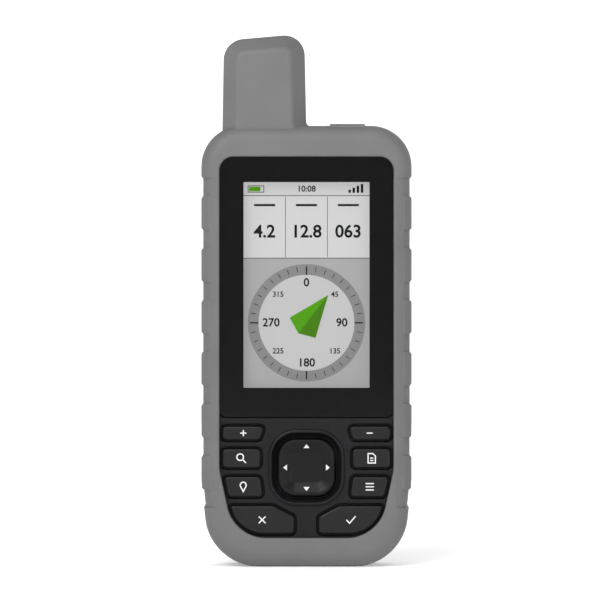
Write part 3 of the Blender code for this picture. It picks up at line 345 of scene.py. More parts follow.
SLEEVE_CHAMFER = 4.4 * MM
RIDGE = 0.9 * MM
BODY_STEPS = 8
RIDGE_STEPS = 4


def rounded_body(name, grow, front, back, edge):
    """Body between two depths, its outline grown and its front and back edges rounded."""
    body = solid(panel(name, grown(BODY, grow), front), back - front)
    round_rim(body, front, edge, BODY_STEPS)
    return round_rim(body, back, edge, BODY_STEPS)


def unit_form(name, grow, edge, chamfer):
    """Body with rounded edges and aerial with chamfered ones, grown on every side."""
    body = rounded_body(name, grow, FRONT - grow, BACK + grow, edge)
    front = AERIAL_FRONT - grow
    back = AERIAL_BACK + grow
    aerial = solid(panel(name + "_aerial", grown(AERIAL, grow), front), back - front)
    for depth, inward in ((front, chamfer), (back, -chamfer)):
        round_rim(aerial, depth, chamfer, steps=1)
        round_rim(aerial, depth, RIDGE, RIDGE_STEPS)
        round_rim(aerial, depth + inward, RIDGE, RIDGE_STEPS)
    return combine(body, aerial, "UNION")


# %% Openings of the sleeve
LIP = 3.5 * MM
WINDOW_HALF = UNIT_HALF - LIP
WINDOW_KNEE = 30.7 * MM
WINDOW_LEAN = 0.22
WINDOW_DROP = 1.3 * MM
WINDOW_CORNER = 12 * MM
WINDOW_TOP_CORNER = 4.4 * MM
KEY_SPREAD = 1.3 * MM
KEY_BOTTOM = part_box("key_enter")[0].z + KEY_SPREAD
BACK_CLEAR = 1.4 * MM
DOOR_CORNER = 9 * MM
CAP_CORNER = 2 * MM
DOOR = rectangle(DOOR_LOW.x, DOOR_HIGH.x, DOOR_LOW.z, DOOR_HIGH.z, DOOR_CORNER)
CAP = rectangle(CAP_LOW.x, CAP_HIGH.x, CAP_LOW.z, CAP_HIGH.z, CAP_CORNER)


def window_edge(z):
    """Half width of the front window at a height."""
    return WINDOW_HALF - WINDOW_LEAN * max(0, WINDOW_KNEE - z)


window_bottom = KEY_BOTTOM - WINDOW_DROP
WINDOW_RIGHT = [
    (window_edge(window_bottom), window_bottom, WINDOW_CORNER),
    (WINDOW_HALF, WINDOW_KNEE, WINDOW_CORNER),
    (WINDOW_HALF, LENS_HIGH.z - WINDOW_DROP, WINDOW_TOP_CORNER),
]
WINDOW = WINDOW_RIGHT + mirrored(WINDOW_RIGHT)

# %% Cut the sleeve to shape
PAST = 2 * MM
WINDOW_LIP = 0.6 * MM
BACK_LIP = 0.8 * MM
sleeve = unit_form("sleeve", SKIN, SLEEVE_EDGE, SLEEVE_CHAMFER)
combine(sleeve, unit_form("sleeve_inside", FIT, EDGE + FIT, CHAMFER), "DIFFERENCE")
near = FRONT - SKIN
far = BACK + SKIN
window = lipped_cutter("window", WINDOW, near - PAST, near, FRONT + MM, WINDOW_LIP)
combine(sleeve, window, "DIFFERENCE")
for name, outline in (("door_opening", DOOR), ("cap_opening", CAP)):
    opening = lipped_cutter(name, grown(outline, BACK_CLEAR), far + PAST, far, BACK - MM, BACK_LIP)
    combine(sleeve, opening, "DIFFERENCE")
slot_low = Vector((PAD_LOW.x - FIT, PAD_LOW.y - FIT, UNIT_TOP - MM))
slot_high = Vector((PAD_HIGH.x + FIT, PAD_HIGH.y + FIT, UNIT_TOP + SKIN + PAST))
combine(sleeve, block("pad_slot", slot_low, slot_high), "DIFFERENCE")
print("sleeve faces after cutting:", len(sleeve.data.polygons))

# %% [markdown]
# Raised pads on each side give the fingers a hold. The side between them is drawn in: a cutter covers
# the whole side, less the sleeve's own form made a little narrower, less one slab for each pad. The
# slabs narrow outward, so each pad rises from the side in a short ramp, as a moulding does.

# %% Side grips
GRIP_DEPTH = 0.6 * MM
GRIP_PITCH = 16.4 * MM
GRIP_HEIGHT = 5.7 * MM
GRIP_START = 21.6 * MM
GRIP_GAPS = 7
PAD_SET = 0.7 * MM
side_low = UNIT_HALF + SKIN - SLEEVE_EDGE + OVERLAP
side_high = UNIT_HALF + SKIN + PAST
floor_x = UNIT_HALF + SKIN - GRIP_DEPTH


def side_slabs(name, front, back, low, high, flare):
    """Slab on each side whose ends spread, or draw together, outward from the floor of the grip.

    A flare of 1 spreads them as far as the slab is deep, and -1 draws them in by as much.
    """
    spread = flare * (side_high - floor_x)
    right = [
        (side_low, low, 0),
        (floor_x, low, 0),
        (side_high, low - spread, 0),
        (side_high, high + spread, 0),
        (floor_x, high, 0),
        (side_low, high, 0),
    ]
    sides = (right, mirrored(right))
    return joined(name, [solid(panel(name, corners, front), back - front) for corners in sides])


grip_low = GRIP_START - GRIP_HEIGHT / 2
grip_high = GRIP_START + (GRIP_GAPS - 1) * GRIP_PITCH + GRIP_HEIGHT / 2
grips = side_slabs("grips", near - PAST, far + PAST, grip_low, grip_high, flare=1)
floor = rounded_body("grip_floor", SKIN - GRIP_DEPTH, near, far, SLEEVE_EDGE)
combine(grips, floor, "DIFFERENCE")
for index in range(GRIP_GAPS - 1):
    low = grip_low + GRIP_HEIGHT + index * GRIP_PITCH
    high = low + GRIP_PITCH - GRIP_HEIGHT
    slabs = side_slabs("grip_pad", near + PAD_SET, far - PAD_SET, low, high, flare=-1)
    combine(grips, slabs, "DIFFERENCE")
combine(sleeve, grips, "DIFFERENCE")
smooth(sleeve)
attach(sleeve, "unit")
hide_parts("silicone_sleeve")
print("sleeve faces:", len(sleeve.data.polygons))

# %% Pad over the power key
PAD_ROUND = 0.5 * MM
pad = block("power_pad", PAD_LOW, PAD_HIGH)
soften(pad, PAD_ROUND, steps=4)
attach(pad, "sleeve_power_pad")
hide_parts("sleeve_power_pad")

# %% [markdown]
# ## Fascia
# The front half of the housing is a moulded shell. Only its lower face shows, with a raised ring
# round the thumb rocker and a hole for each key. Each hole's cutter carries the rounding of its edge.

# %% Key outlines
KEY_MARGIN = 0.9 * MM
KEY_GAP = 0.8 * MM
KEY_PROUD = 0.8 * MM
KEY_INNER = 14.6 * MM
KEY_ROWS = [
    ("key_quit", "key_enter"),
    ("key_mark", "key_menu"),
    ("key_find", "key_page"),
    ("key_zoom_in", "key_zoom_out"),
]
# How far the inner end of each row's keys moves out, at its foot and at its top.
KEY_SLANTS = [(0, 0), (-0.75 * MM, 0), (0, 0), (0.2 * MM, -1.3 * MM)]
KEY_CORNER = 1.2 * MM
ENTER_INNER = 3.9 * MM
ENTER_CORNER = 10.2 * MM
ENTER_CUT_WIDTH = 6.5 * MM
ENTER_CUT_DROP = 3.4 * MM
key_outlines = {}
for (left, right), (slant_low, slant_high) in zip(KEY_ROWS, KEY_SLANTS):
    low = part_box(right)[0].z + KEY_SPREAD
    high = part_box(right)[1].z - KEY_SPREAD
    outer_low = window_edge(low) - KEY_MARGIN
    outer_high = window_edge(high) - KEY_MARGIN
    outline = [
        (KEY_INNER + slant_low, low, KEY_CORNER),
        (outer_low, low, KEY_CORNER),
        (outer_high, high, KEY_CORNER),
        (KEY_INNER + slant_high, high, KEY_CORNER),
    ]
    if right == "key_enter":
        outline = [
            (ENTER_INNER, low, KEY_CORNER),
            (outer_low, low, ENTER_CORNER),
            (outer_high, high, KEY_CORNER / 2),
            (ENTER_INNER + ENTER_CUT_WIDTH, high, KEY_CORNER),
            (ENTER_INNER, high - ENTER_CUT_DROP, KEY_CORNER),
        ]
    key_outlines[right] = outline
    key_outlines[left] = mirrored(outline)
print("keys:", sorted(key_outlines))

# %% Shell of the fascia
WALL = 3.8 * MM
HOUSING_WALL = 2.4 * MM
PARTING = UNIT_HIGH.y
fascia = unit_form("fascia", 0, EDGE, CHAMFER)
far_corner = Vector((UNIT_HALF + PAST, BACK + PAST, UNIT_HIGH.z + PAST))
combine(fascia, block("behind", (-far_corner.x, PARTING, 0), far_corner), "DIFFERENCE")
room = solid(panel("room", grown(BODY, -HOUSING_WALL), FRONT + WALL), BACK - FRONT)
combine(fascia, room, "DIFFERENCE")
aerial_room = panel("aerial_room", grown(AERIAL, -HOUSING_WALL), AERIAL_FRONT + HOUSING_WALL)
solid(aerial_room, BACK - FRONT)
combine(fascia, aerial_room, "DIFFERENCE")
print("shell faces:", len(fascia.data.polygons))

# %% Ring and openings of the fascia
RING_Z = (ROCKER_LOW.z + ROCKER_HIGH.z) / 2
RING_PROUD = 0.9 * MM
RING_SPREAD = 3.2 * MM
RING_ROUND = 0.6 * MM
ROCKER_CORNER = 5.5 * MM
CREST = FRONT - RING_PROUD
rocker_corners = rectangle(ROCKER_LOW.x, ROCKER_HIGH.x, ROCKER_LOW.z, ROCKER_HIGH.z, ROCKER_CORNER)
ring = panel("ring", grown(rocker_corners, RING_SPREAD), CREST)
solid(ring, RING_PROUD + WALL / 2)
round_rim(ring, CREST, RING_ROUND)
combine(fascia, ring, "UNION")
HOLE_LIP = 0.3 * MM
HOLE_STEPS = 3
LENS_CORNER = 2.8 * MM
LENS_SEAT = 2.6 * MM
LENS = rectangle(LENS_LOW.x, LENS_HIGH.x, LENS_LOW.z, LENS_HIGH.z, LENS_CORNER)
holes = {"rocker_hole": (grown(rocker_corners, KEY_GAP), FRONT + WALL + PAST)}
for name, outline in key_outlines.items():
    holes[name + "_hole"] = (grown(outline, KEY_GAP), FRONT + WALL + PAST)
holes["recess"] = (grown(LENS, FIT), FRONT + LENS_SEAT)
for name, (outline, end) in holes.items():
    hole = lipped_cutter(name, outline, FRONT - PAST, FRONT, end, HOLE_LIP, HOLE_STEPS)
    combine(fascia, hole, "DIFFERENCE")
DISPLAY_SIDE = 8.1 * MM
DISPLAY_END = 9.3 * MM
VIEW_HALF = LENS_HIGH.x - DISPLAY_SIDE
VIEW_LOW = LENS_LOW.z + DISPLAY_END
VIEW_HIGH = LENS_HIGH.z - DISPLAY_END
VIEW = rectangle(LENS_LOW.x + DISPLAY_SIDE, VIEW_HALF, VIEW_LOW, VIEW_HIGH, FIT)
combine(fascia, solid(panel("view", grown(VIEW, FIT), FRONT - PAST), WALL + 2 * PAST), "DIFFERENCE")
MOAT = 2.2 * MM
MOAT_FLOOR = FRONT + 1.7 * MM
MOAT_LIP = 0.25 * MM
MOAT_FLAT = 0.1 * MM
moat_outline = grown(rocker_corners, MOAT)
moat = lipped_cutter("moat", moat_outline, CREST - PAST, CREST, MOAT_FLOOR, MOAT_LIP, HOLE_STEPS)
round_rim(moat, MOAT_FLOOR, MOAT - KEY_GAP - MOAT_FLAT, steps=1)
combine(fascia, moat, "DIFFERENCE")
smooth(fascia)
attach(fascia, "unit")
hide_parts("front_housing")
print("fascia faces:", len(fascia.data.polygons))

# %% [markdown]
# ## Keys
# Each key is a rubber cap with a rounded rim, and a flange behind the fascia that keeps it in.
# The rim is bevelled in several steps, which is what catches the light along its upper edge.

# %% Rubber keys
KEY_ROUND = 0.6 * MM
KEY_FACE = FRONT - KEY_PROUD
keys = {}
for name, outline in key_outlines.items():
    cap = solid(panel(name + "_cap", outline, KEY_FACE), KEY_PROUD + WALL + KEY_GAP)
    round_rim(cap, KEY_FACE, KEY_ROUND, steps=5)
    flange = solid(panel(name + "_flange", grown(outline, KEY_SPREAD), FRONT + WALL + FIT), KEY_GAP)
    combine(cap, flange, "UNION")
    smooth(cap)
    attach(cap, name)
    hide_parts(name)
    keys[name] = cap
print("keys made:", len(keys))

# %% [markdown]
# ## Thumb rocker
# The rocker is dished: a narrow rim, four slopes, and a flat square in the middle that the thumb
# finds by feel. Two insets make it, the second one pushed in.

# %% Rocker
ROCKER_RIM = 1.0 * MM
ROCKER_SLOPE = 3.1 * MM
ROCKER_DISH = 1.5 * MM
ROCKER_ROUND = 0.35 * MM
rocker = solid(panel("rocker", rocker_corners, ROCKER_LOW.y), ROCKER_HIGH.y - ROCKER_LOW.y)
edit(rocker)
pick(rocker, "FACE", lambda face: abs(face.calc_center_median().y - ROCKER_LOW.y) < SAME_PLACE)
bpy.ops.mesh.inset(thickness=ROCKER_RIM)
bpy.ops.mesh.inset(thickness=ROCKER_SLOPE, depth=-ROCKER_DISH)
bpy.ops.object.mode_set(mode="OBJECT")
soften(rocker, ROCKER_ROUND, steps=4, angle=12)
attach(rocker, "rocker_pad")
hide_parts("rocker_pad")
print("rocker faces:", len(rocker.data.polygons))

# %% [markdown]
# ## Glass and display
# The window is black glass with a clear middle. A slab with a hole makes the printed border, and a
# clear pane fills the front half of the hole, so the display really lies behind glass and shifts as
# the view moves.

# %% Window
GLASS = LENS_HIGH.y - LENS_LOW.y
GLASS_ROUND = 0.2 * MM
PANE_GAP = 0.02 * MM
PANE_SET = 0.01 * MM
border = solid(panel("window_border", LENS, FRONT), GLASS)
round_rim(border, FRONT, GLASS_ROUND, steps=3)
combine(border, solid(panel("window_hole", VIEW, FRONT - PAST), GLASS + 2 * PAST), "DIFFERENCE")
smooth(border)
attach(border, "unit")
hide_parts("lens_window")
pane = solid(panel("window_pane", grown(VIEW, -PANE_GAP), FRONT + PANE_SET), GLASS / 2)
smooth(pane)
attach(pane, "unit")

# %% Flat print helpers
INK = 0.03 * MM
# A letter's em is higher than its digits by this factor, and the strokes gain a share of the height.
EM_HEIGHT = 1.4
DIGIT_WEIGHT = 0.03


def patch(corners, depth):
    """Thin printed patch that stands an ink layer in front of a depth."""
    return solid(panel("patch", corners, depth - INK), INK)


def path(points, width, depth):
    """Line of even width through the points, as one ribbon with mitred corners."""
    points = [Vector(point) for point in points]
    right = []
    left = []
    for index, point in enumerate(points):
        before = (point - points[max(index - 1, 0)]).normalized()
        after = (points[min(index + 1, len(points) - 1)] - point).normalized()
        way = mitre(before, after) * width / 2
        right.append(point + way)
        left.append(point - way)
    return patch([(point.x, point.y, 0) for point in right + left[::-1]], depth)


def stroke(start, end, width, depth):
    """Thin bar between two points of the front view, half its width longer at each end."""
    along = (Vector(end) - Vector(start)).normalized() * width / 2
    return path([Vector(start) - along, Vector(end) + along], width, depth)


def arc(x, z, radius, start, end, steps):
    """Points round a circle, in degrees clockwise from the top."""
    points = []
    for step in range(steps + 1):
        angle = math.radians(start + (end - start) * step / steps)
        points.append((x + radius * math.sin(angle), z + radius * math.cos(angle)))
    return points


def digits(text, x, z, height, depth):
    """Plain numbers as a thin mesh, centred on a point."""
    bpy.ops.object.select_all(action="DESELECT")
    bpy.ops.object.text_add(rotation=(math.pi / 2, 0, 0), location=(x, depth - INK / 2, z))
    piece = bpy.context.object
    piece.data.body = text
    piece.data.size = height * EM_HEIGHT
    piece.data.align_x = "CENTER"
    piece.data.align_y = "CENTER"
    piece.data.extrude = INK / 2
    piece.data.offset = height * DIGIT_WEIGHT
    piece.data.resolution_u = 4
    bpy.ops.object.convert(target="MESH")
    return settle("digits")


# %% Display panel and its fields
LCD_LOW, LCD_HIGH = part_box("lcd_panel")
LCD = rectangle(LCD_LOW.x, LCD_HIGH.x, LCD_LOW.z, LCD_HIGH.z, FIT)
lcd = solid(panel("display_panel", LCD, LCD_LOW.y), LCD_HIGH.y - LCD_LOW.y)
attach(lcd, "unit")
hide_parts("lcd_panel")
FIELD_HEIGHT = 41 * MM
STRIP_HEIGHT = 4.2 * MM
FIELD_TOP = VIEW_LOW + FIELD_HEIGHT
STRIP = VIEW_HIGH - STRIP_HEIGHT
layer = LCD_LOW.y
shade = patch(rectangle(-VIEW_HALF, VIEW_HALF, VIEW_LOW, FIELD_TOP, 0), layer)
shade.name = "display_field"
DIAL_Z = (VIEW_LOW + FIELD_TOP) / 2
DIAL = 18.6 * MM
DIAL_BAND = 3.4 * MM
ROUND_SIDES = 96


def disc(name, radius, depth):
    """Round patch of the dial."""
    bpy.ops.object.select_all(action="DESELECT")
    bpy.ops.mesh.primitive_circle_add(vertices=ROUND_SIDES, radius=radius, fill_type="NGON",
                                      location=(0, depth - INK, DIAL_Z), rotation=(math.pi / 2, 0, 0))
    return solid(settle(name), INK)


rim = disc("dial_rim", DIAL, layer - INK)
face = disc("dial_face", DIAL - DIAL_BAND, layer - 2 * INK)
top_layer = layer - 3 * INK
print(f"dial {2 * DIAL / MM:.1f} mm across")

# %% Ticks and numbers of the dial
TICKS = 36
TICK_OUTER = 0.9 * MM
# How far in a tick reaches from the dial's edge, and its width.
LONG_TICK = (3.2 * MM, 0.42 * MM)
SHORT_TICK = (2.2 * MM, 0.22 * MM)
NUMBERS = 8
# The numbers at the sides are wide, so they stand further in.
NUMBER_SET = 5.9 * MM
SIDE_NUMBER_SET = 7.4 * MM
NUMBER_HEIGHT = 2.6 * MM
SMALL_NUMBER_HEIGHT = 1.7 * MM
marks = []
for tick in range(TICKS):
    angle = math.radians(360 / TICKS * tick)
    way = Vector((math.sin(angle), math.cos(angle)))
    reach, width = LONG_TICK if tick % (TICKS // 4) == 0 else SHORT_TICK
    inner = way * (DIAL - reach) + Vector((0, DIAL_Z))
    outer = way * (DIAL - TICK_OUTER) + Vector((0, DIAL_Z))
    marks.append(stroke(inner, outer, width, top_layer))
for step in range(NUMBERS):
    bearing = 360 // NUMBERS * step
    angle = math.radians(bearing)
    reach = DIAL - (SIDE_NUMBER_SET if bearing in (90, 270) else NUMBER_SET)
    height = NUMBER_HEIGHT if bearing % 90 == 0 else SMALL_NUMBER_HEIGHT
    place = (reach * math.sin(angle), DIAL_Z + reach * math.cos(angle))
    marks.append(digits(str(bearing), *place, height, top_layer))

# %% Number fields, clock and signs of the top strip
READING_HEIGHT = 4.0 * MM
READING_DROP = 1.6 * MM
LABEL_DROP = 3.0 * MM
LABEL_HALF = 3 * MM
LABEL_WIDTH = 0.7 * MM
RULE = 0.2 * MM
COLUMN_RULE = 0.16 * MM
RULE_GAP = 0.4 * MM
CLOCK_HEIGHT = 1.9 * MM
for index, number in enumerate(("4.2", "12.8", "063")):
    column = (index - 1) * 2 * VIEW_HALF / 3
    reading_z = (FIELD_TOP + STRIP) / 2 - READING_DROP
    marks.append(digits(number, column, reading_z, READING_HEIGHT, layer))
    label_z = STRIP - LABEL_DROP
    label_ends = ((column - LABEL_HALF, label_z), (column + LABEL_HALF, label_z))
    marks.append(stroke(*label_ends, LABEL_WIDTH, layer))
for side in (-1, 1):
    x = side * VIEW_HALF / 3
    marks.append(stroke((x, FIELD_TOP + RULE_GAP), (x, STRIP - RULE_GAP), COLUMN_RULE, layer))
marks.append(stroke((-VIEW_HALF, STRIP), (VIEW_HALF, STRIP), RULE, layer))
marks.append(stroke((-VIEW_HALF, FIELD_TOP), (VIEW_HALF, FIELD_TOP), RULE, layer - INK))
marks.append(digits("10:08", 0, (STRIP + VIEW_HIGH) / 2, CLOCK_HEIGHT, layer))
BARS = 4
BAR_SET = 6.2 * MM
BAR_PITCH = 1.3 * MM
BAR_WIDTH = 0.8 * MM
BAR_BASE = STRIP + 0.9 * MM
BAR_FOOT = 0.4 * MM
BAR_STEP = 0.6 * MM
for bar in range(BARS):
    x = VIEW_HALF - BAR_SET + bar * BAR_PITCH
    bar_top = BAR_BASE + (bar + 1) * BAR_STEP
    marks.append(stroke((x, BAR_BASE + BAR_FOOT), (x, bar_top), BAR_WIDTH, layer))
# The battery sign: its outline in millimetres from its left end, and the charge inside it.
CELL_X = -VIEW_HALF + 1.4 * MM
CELL_Z = (STRIP + VIEW_HIGH) / 2
CELL_LINE = 0.22 * MM
CELL_BOX = [(2.5, -1), (5.0, -1), (5.0, 1), (0, 1), (0, -1), (2.5, -1)]
CHARGE_X = (0.3 * MM, 3.9 * MM)
CHARGE_HALF = 0.7 * MM
marks.append(path([(CELL_X + x * MM, CELL_Z + z * MM) for x, z in CELL_BOX], CELL_LINE, layer))
ink = joined("display_print", marks)
charge_bar = rectangle(CELL_X + CHARGE_X[0], CELL_X + CHARGE_X[1], CELL_Z - CHARGE_HALF,
                       CELL_Z + CHARGE_HALF, 0)
charge = patch(charge_bar, layer)
charge.name = "display_charge"

# %% Two-tone pointer
POINTER_TURN = math.radians(38)
POINTER = 11.2 * MM
POINTER_HALF = 5.2 * MM
POINTER_WING = 2 * MM
POINTER_TAIL = 4.2 * MM


def on_dial(x, z):
    """Point of the pointer, turned to its bearing."""
    cosine = math.cos(POINTER_TURN)
    sine = math.sin(POINTER_TURN)
    return (x * cosine + z * sine, DIAL_Z - x * sine + z * cosine, 0)


tip = on_dial(0, POINTER)
tail = on_dial(0, -POINTER_TAIL)
bright = patch([on_dial(-POINTER_HALF, -POINTER_WING), tail, tip], top_layer - INK)
bright.name = "pointer_bright"
dim = patch([tail, on_dial(POINTER_HALF, -POINTER_WING), tip], top_layer - INK)
dim.name = "pointer_dim"
for piece in (shade, rim, face, ink, charge, bright, dim):
    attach(piece, "unit")

# %% [markdown]
# ## Signs on the keys
# The keys carry plain white signs that anyone can read: plus and minus, a magnifier, a page, a pin,
# a list, a cross and a tick. They are strokes of ink on the rubber, and each set rides on its key.

# %% Key signs
SIGN = 0.36 * MM


def middle_of(name):
    """Middle of a key's outline."""
    outline = key_outlines[name]
    xs = [corner[0] for corner in outline]
    zs = [corner[1] for corner in outline]
    return (min(xs) + max(xs)) / 2, (min(zs) + max(zs)) / 2


# Points of each line in millimetres from the middle of the key.
PIN_HEAD = arc(0, 0.5, 0.95, -115, 115, 16)
PIN_TIP = (0, -1.5)
PIN_SIDE = ((PIN_HEAD[0][0] + PIN_TIP[0]) / 2, (PIN_HEAD[0][1] + PIN_TIP[1]) / 2)
PAGE = [(0, -1.5), (1.15, -1.5), (1.15, 0.7), (0.35, 1.5), (-1.15, 1.5), (-1.15, -1.5), (0, -1.5)]
SIGNS = {
    "key_zoom_in": [[(-0.95, 0), (0.95, 0)], [(0, -0.95), (0, 0.95)]],
    "key_zoom_out": [[(-0.95, 0), (0.95, 0)]],
    "key_find": [arc(-0.35, 0.35, 1.05, 140, 490, 24), [(0.4, -0.4), (1.45, -1.45)]],
    "key_page": [PAGE, [(-0.5, 0.05), (0.5, 0.05)], [(-0.5, -0.7), (0.5, -0.7)]],
    "key_mark": [[PIN_SIDE] + PIN_HEAD + [PIN_TIP, PIN_SIDE]],
    "key_menu": [[(-1.3, 1.0), (1.3, 1.0)], [(-1.3, 0), (1.3, 0)], [(-1.3, -1.0), (1.3, -1.0)]],
    "key_quit": [[(-1.05, -1.05), (1.05, 1.05)], [(-1.05, 1.05), (1.05, -1.05)]],
    "key_enter": [[(-1.4, 0), (-0.4, -1.05), (1.5, 1.15)]],
}
# Lines that cross lie this far apart, so that neither flickers through the other.
LAYER = 0.004 * MM
signs = []
for name, lines in SIGNS.items():
    x, z = middle_of(name)
    strokes = []
    for index, line in enumerate(lines):
        points = [(x + dx * MM, z + dz * MM) for dx, dz in line]
        strokes.append(path(points, SIGN, KEY_FACE - index * LAYER))
    sign = joined(name + "_sign", strokes)
    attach(sign, name)
    signs.append(sign)

# %% Arrows on the rocker
ARROW_REACH = 6.7 * MM
ARROW_TIP = 0.65 * MM
ARROW_BASE = 0.55 * MM
ARROW_HALF = 0.95 * MM
slope_top = ROCKER_HIGH.x - ROCKER_RIM
arrows = []
for quarter in range(4):
    angle = quarter * math.pi / 2
    out = Vector((math.sin(angle), math.cos(angle)))
    side = Vector((out.y, -out.x))
    tip = out * (ARROW_REACH + ARROW_TIP)
    base = out * (ARROW_REACH - ARROW_BASE)
    corners = [tip, base - side * ARROW_HALF, base + side * ARROW_HALF]
    flat = [(corner.x, RING_Z + corner.y, 0) for corner in corners]
    arrow = patch(flat, ROCKER_LOW.y - INK)
    for vertex in arrow.data.vertices:
        away = Vector((vertex.co.x, vertex.co.z - RING_Z)).dot(out)
        vertex.co.y += ROCKER_DISH * (slope_top - away) / ROCKER_SLOPE
    arrows.append(arrow)
rocker_arrows = joined("rocker_arrows", arrows)
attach(rocker_arrows, "rocker_pad")
signs.append(rocker_arrows)
print("signs:", len(signs))

# %% [markdown]
# ## The back
# The battery door carries a spine that slides into a mount, and a quarter-turn stud with a folding
# ring that locks it. The door's boxes and drums are joined first, and one bevel at the end rounds
# every edge alike, as a mould would. The stud is turned metal, so its parts are rounded one by one.

# %% Battery door
LOCK_LOW, LOCK_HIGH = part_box("door_lock")
LOCK_Z = (LOCK_LOW.z + LOCK_HIGH.z) / 2
DOOR_THICK = 2.2 * MM
DOOR_ROUND = 0.4 * MM
CUP_WALL = 1.0 * MM
DISH_FLOOR = BACK - 3.6 * MM
CUP_FLOOR = DISH_FLOOR - CUP_WALL
DISH_EDGE = 8.0 * MM
SHAFT = 2.2 * MM
SHAFT_GAP = 0.4 * MM
SPINE_HALF = 8.5 * MM
SPINE_NECK = 6.0 * MM
SPINE_Z = (40.0 * MM, 74.0 * MM)
HEAD_NEAR = BACK + 2 * MM


def drum(name, radius, start, end, sides=ROUND_SIDES):
    """Cylinder between two points."""
    start = Vector(start)
    along = Vector(end) - start
    bpy.ops.object.select_all(action="DESELECT")
    turn = along.to_track_quat("Z", "Y").to_euler()
    middle = start + along / 2
    bpy.ops.mesh.primitive_cylinder_add(vertices=sides, radius=radius, depth=along.length,
                                        location=middle, rotation=turn)
    return settle(name)


door = solid(panel("door", DOOR, BACK - DOOR_THICK), DOOR_THICK)
cup = drum("lock_cup", DISH_EDGE + CUP_WALL, (0, CUP_FLOOR, LOCK_Z), (0, BACK - FIT, LOCK_Z))
combine(door, cup, "UNION")
neck = block("spine_neck", (-SPINE_NECK, BACK - MM, SPINE_Z[0]), (SPINE_NECK, HEAD_NEAR + MM, SPINE_Z[1]))
combine(door, neck, "UNION")
head = block("spine_head", (-SPINE_HALF, HEAD_NEAR, SPINE_Z[0]), (SPINE_HALF, DOOR_HIGH.y, SPINE_Z[1]))
combine(door, head, "UNION")
dish = drum("lock_dish", DISH_EDGE, (0, DISH_FLOOR, LOCK_Z), (0, BACK + PAST, LOCK_Z))
combine(door, dish, "DIFFERENCE")
lock_hole = drum("lock_hole", SHAFT + SHAFT_GAP, (0, CUP_FLOOR - PAST, LOCK_Z), (0, BACK, LOCK_Z))
combine(door, lock_hole, "DIFFERENCE")
soften(door, DOOR_ROUND, steps=4)
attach(door, "battery_door")
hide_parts("battery_door")
print("door faces:", len(door.data.polygons))

# %% Lock stud and its ring
RING_LOW, RING_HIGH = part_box("lock_ring")
WIRE = (RING_HIGH.y - RING_LOW.y) / 2
BAR_Y = (RING_LOW.y + RING_HIGH.y) / 2
BAR_Z = RING_HIGH.z - WIRE
DISC_NEAR = DISH_FLOOR + FIT
DISC_FAR = DISC_NEAR + MM
DISC_EDGE = 7.4 * MM
DISC_ROUND = 0.25 * MM
DISC_BORDER = 0.9 * MM
DISC_STEP = 0.2 * MM
DISC_SUNK = 0.25 * MM
FACING_BACK = 0.99
ROOT = DISC_FAR - 0.5 * MM
SHAFT_END = CUP_FLOOR - 3.2 * MM
SHAFT_SIDES = 48
LUG_HALF = 3.4 * MM
LUG_GAP = 0.7 * MM
EYE_HALF = 2.6 * MM
EYE_REACH = 1.7 * MM
EYE_ROUND = 0.4 * MM
lock = drum("lock", DISC_EDGE, (0, DISC_NEAR, LOCK_Z), (0, DISC_FAR, LOCK_Z))
round_rim(lock, DISC_FAR, DISC_ROUND, steps=4)
edit(lock)
pick(lock, "FACE", lambda face: face.normal.y > FACING_BACK)
bpy.ops.mesh.inset(thickness=DISC_BORDER)
bpy.ops.mesh.inset(thickness=DISC_STEP, depth=-DISC_SUNK)
bpy.ops.object.mode_set(mode="OBJECT")
combine(lock, drum("shaft", SHAFT, (0, SHAFT_END, LOCK_Z), (0, ROOT, LOCK_Z), SHAFT_SIDES), "UNION")
lug_low = (-LUG_HALF, SHAFT_END + FIT, LOCK_Z - SHAFT / 2)
lug_high = (LUG_HALF, CUP_FLOOR - LUG_GAP, LOCK_Z + SHAFT / 2)
combine(lock, block("lug", lug_low, lug_high), "UNION")
eye_low = (-EYE_HALF, ROOT, BAR_Z - EYE_REACH)
eye_high = (EYE_HALF, BAR_Y + EYE_REACH, BAR_Z + EYE_REACH)
combine(lock, soften(block("eye", eye_low, eye_high), EYE_ROUND), "UNION")
bore_end = EYE_HALF + PAST
bore = drum("eye_bore", WIRE + FIT, (-bore_end, BAR_Y, BAR_Z), (bore_end, BAR_Y, BAR_Z), SHAFT_SIDES)
combine(lock, bore, "DIFFERENCE")
smooth(lock)
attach(lock, "door_lock")
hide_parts("door_lock")
bend = RING_HIGH.x - WIRE
ring_line = [
    (-bend, RING_LOW.z + WIRE, bend - FIT),
    (bend, RING_LOW.z + WIRE, bend - FIT),
    (bend, BAR_Z, WIRE),
    (-bend, BAR_Z, WIRE),
]
lock_ring = panel("ring_wire", ring_line, BAR_Y)
edit(lock_ring)
bpy.ops.mesh.select_all(action="SELECT")
bpy.ops.mesh.delete(type="ONLY_FACE")
bpy.ops.object.mode_set(mode="OBJECT")
bpy.ops.object.convert(target="CURVE")
lock_ring.data.bevel_depth = WIRE
lock_ring.data.bevel_resolution = 5
bpy.ops.object.convert(target="MESH")
lock_ring = bpy.context.object
smooth(lock_ring, angle=60)
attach(lock_ring, "lock_ring")
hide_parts("lock_ring")
print("lock faces:", len(lock.data.polygons), "ring faces:", len(lock_ring.data.polygons))

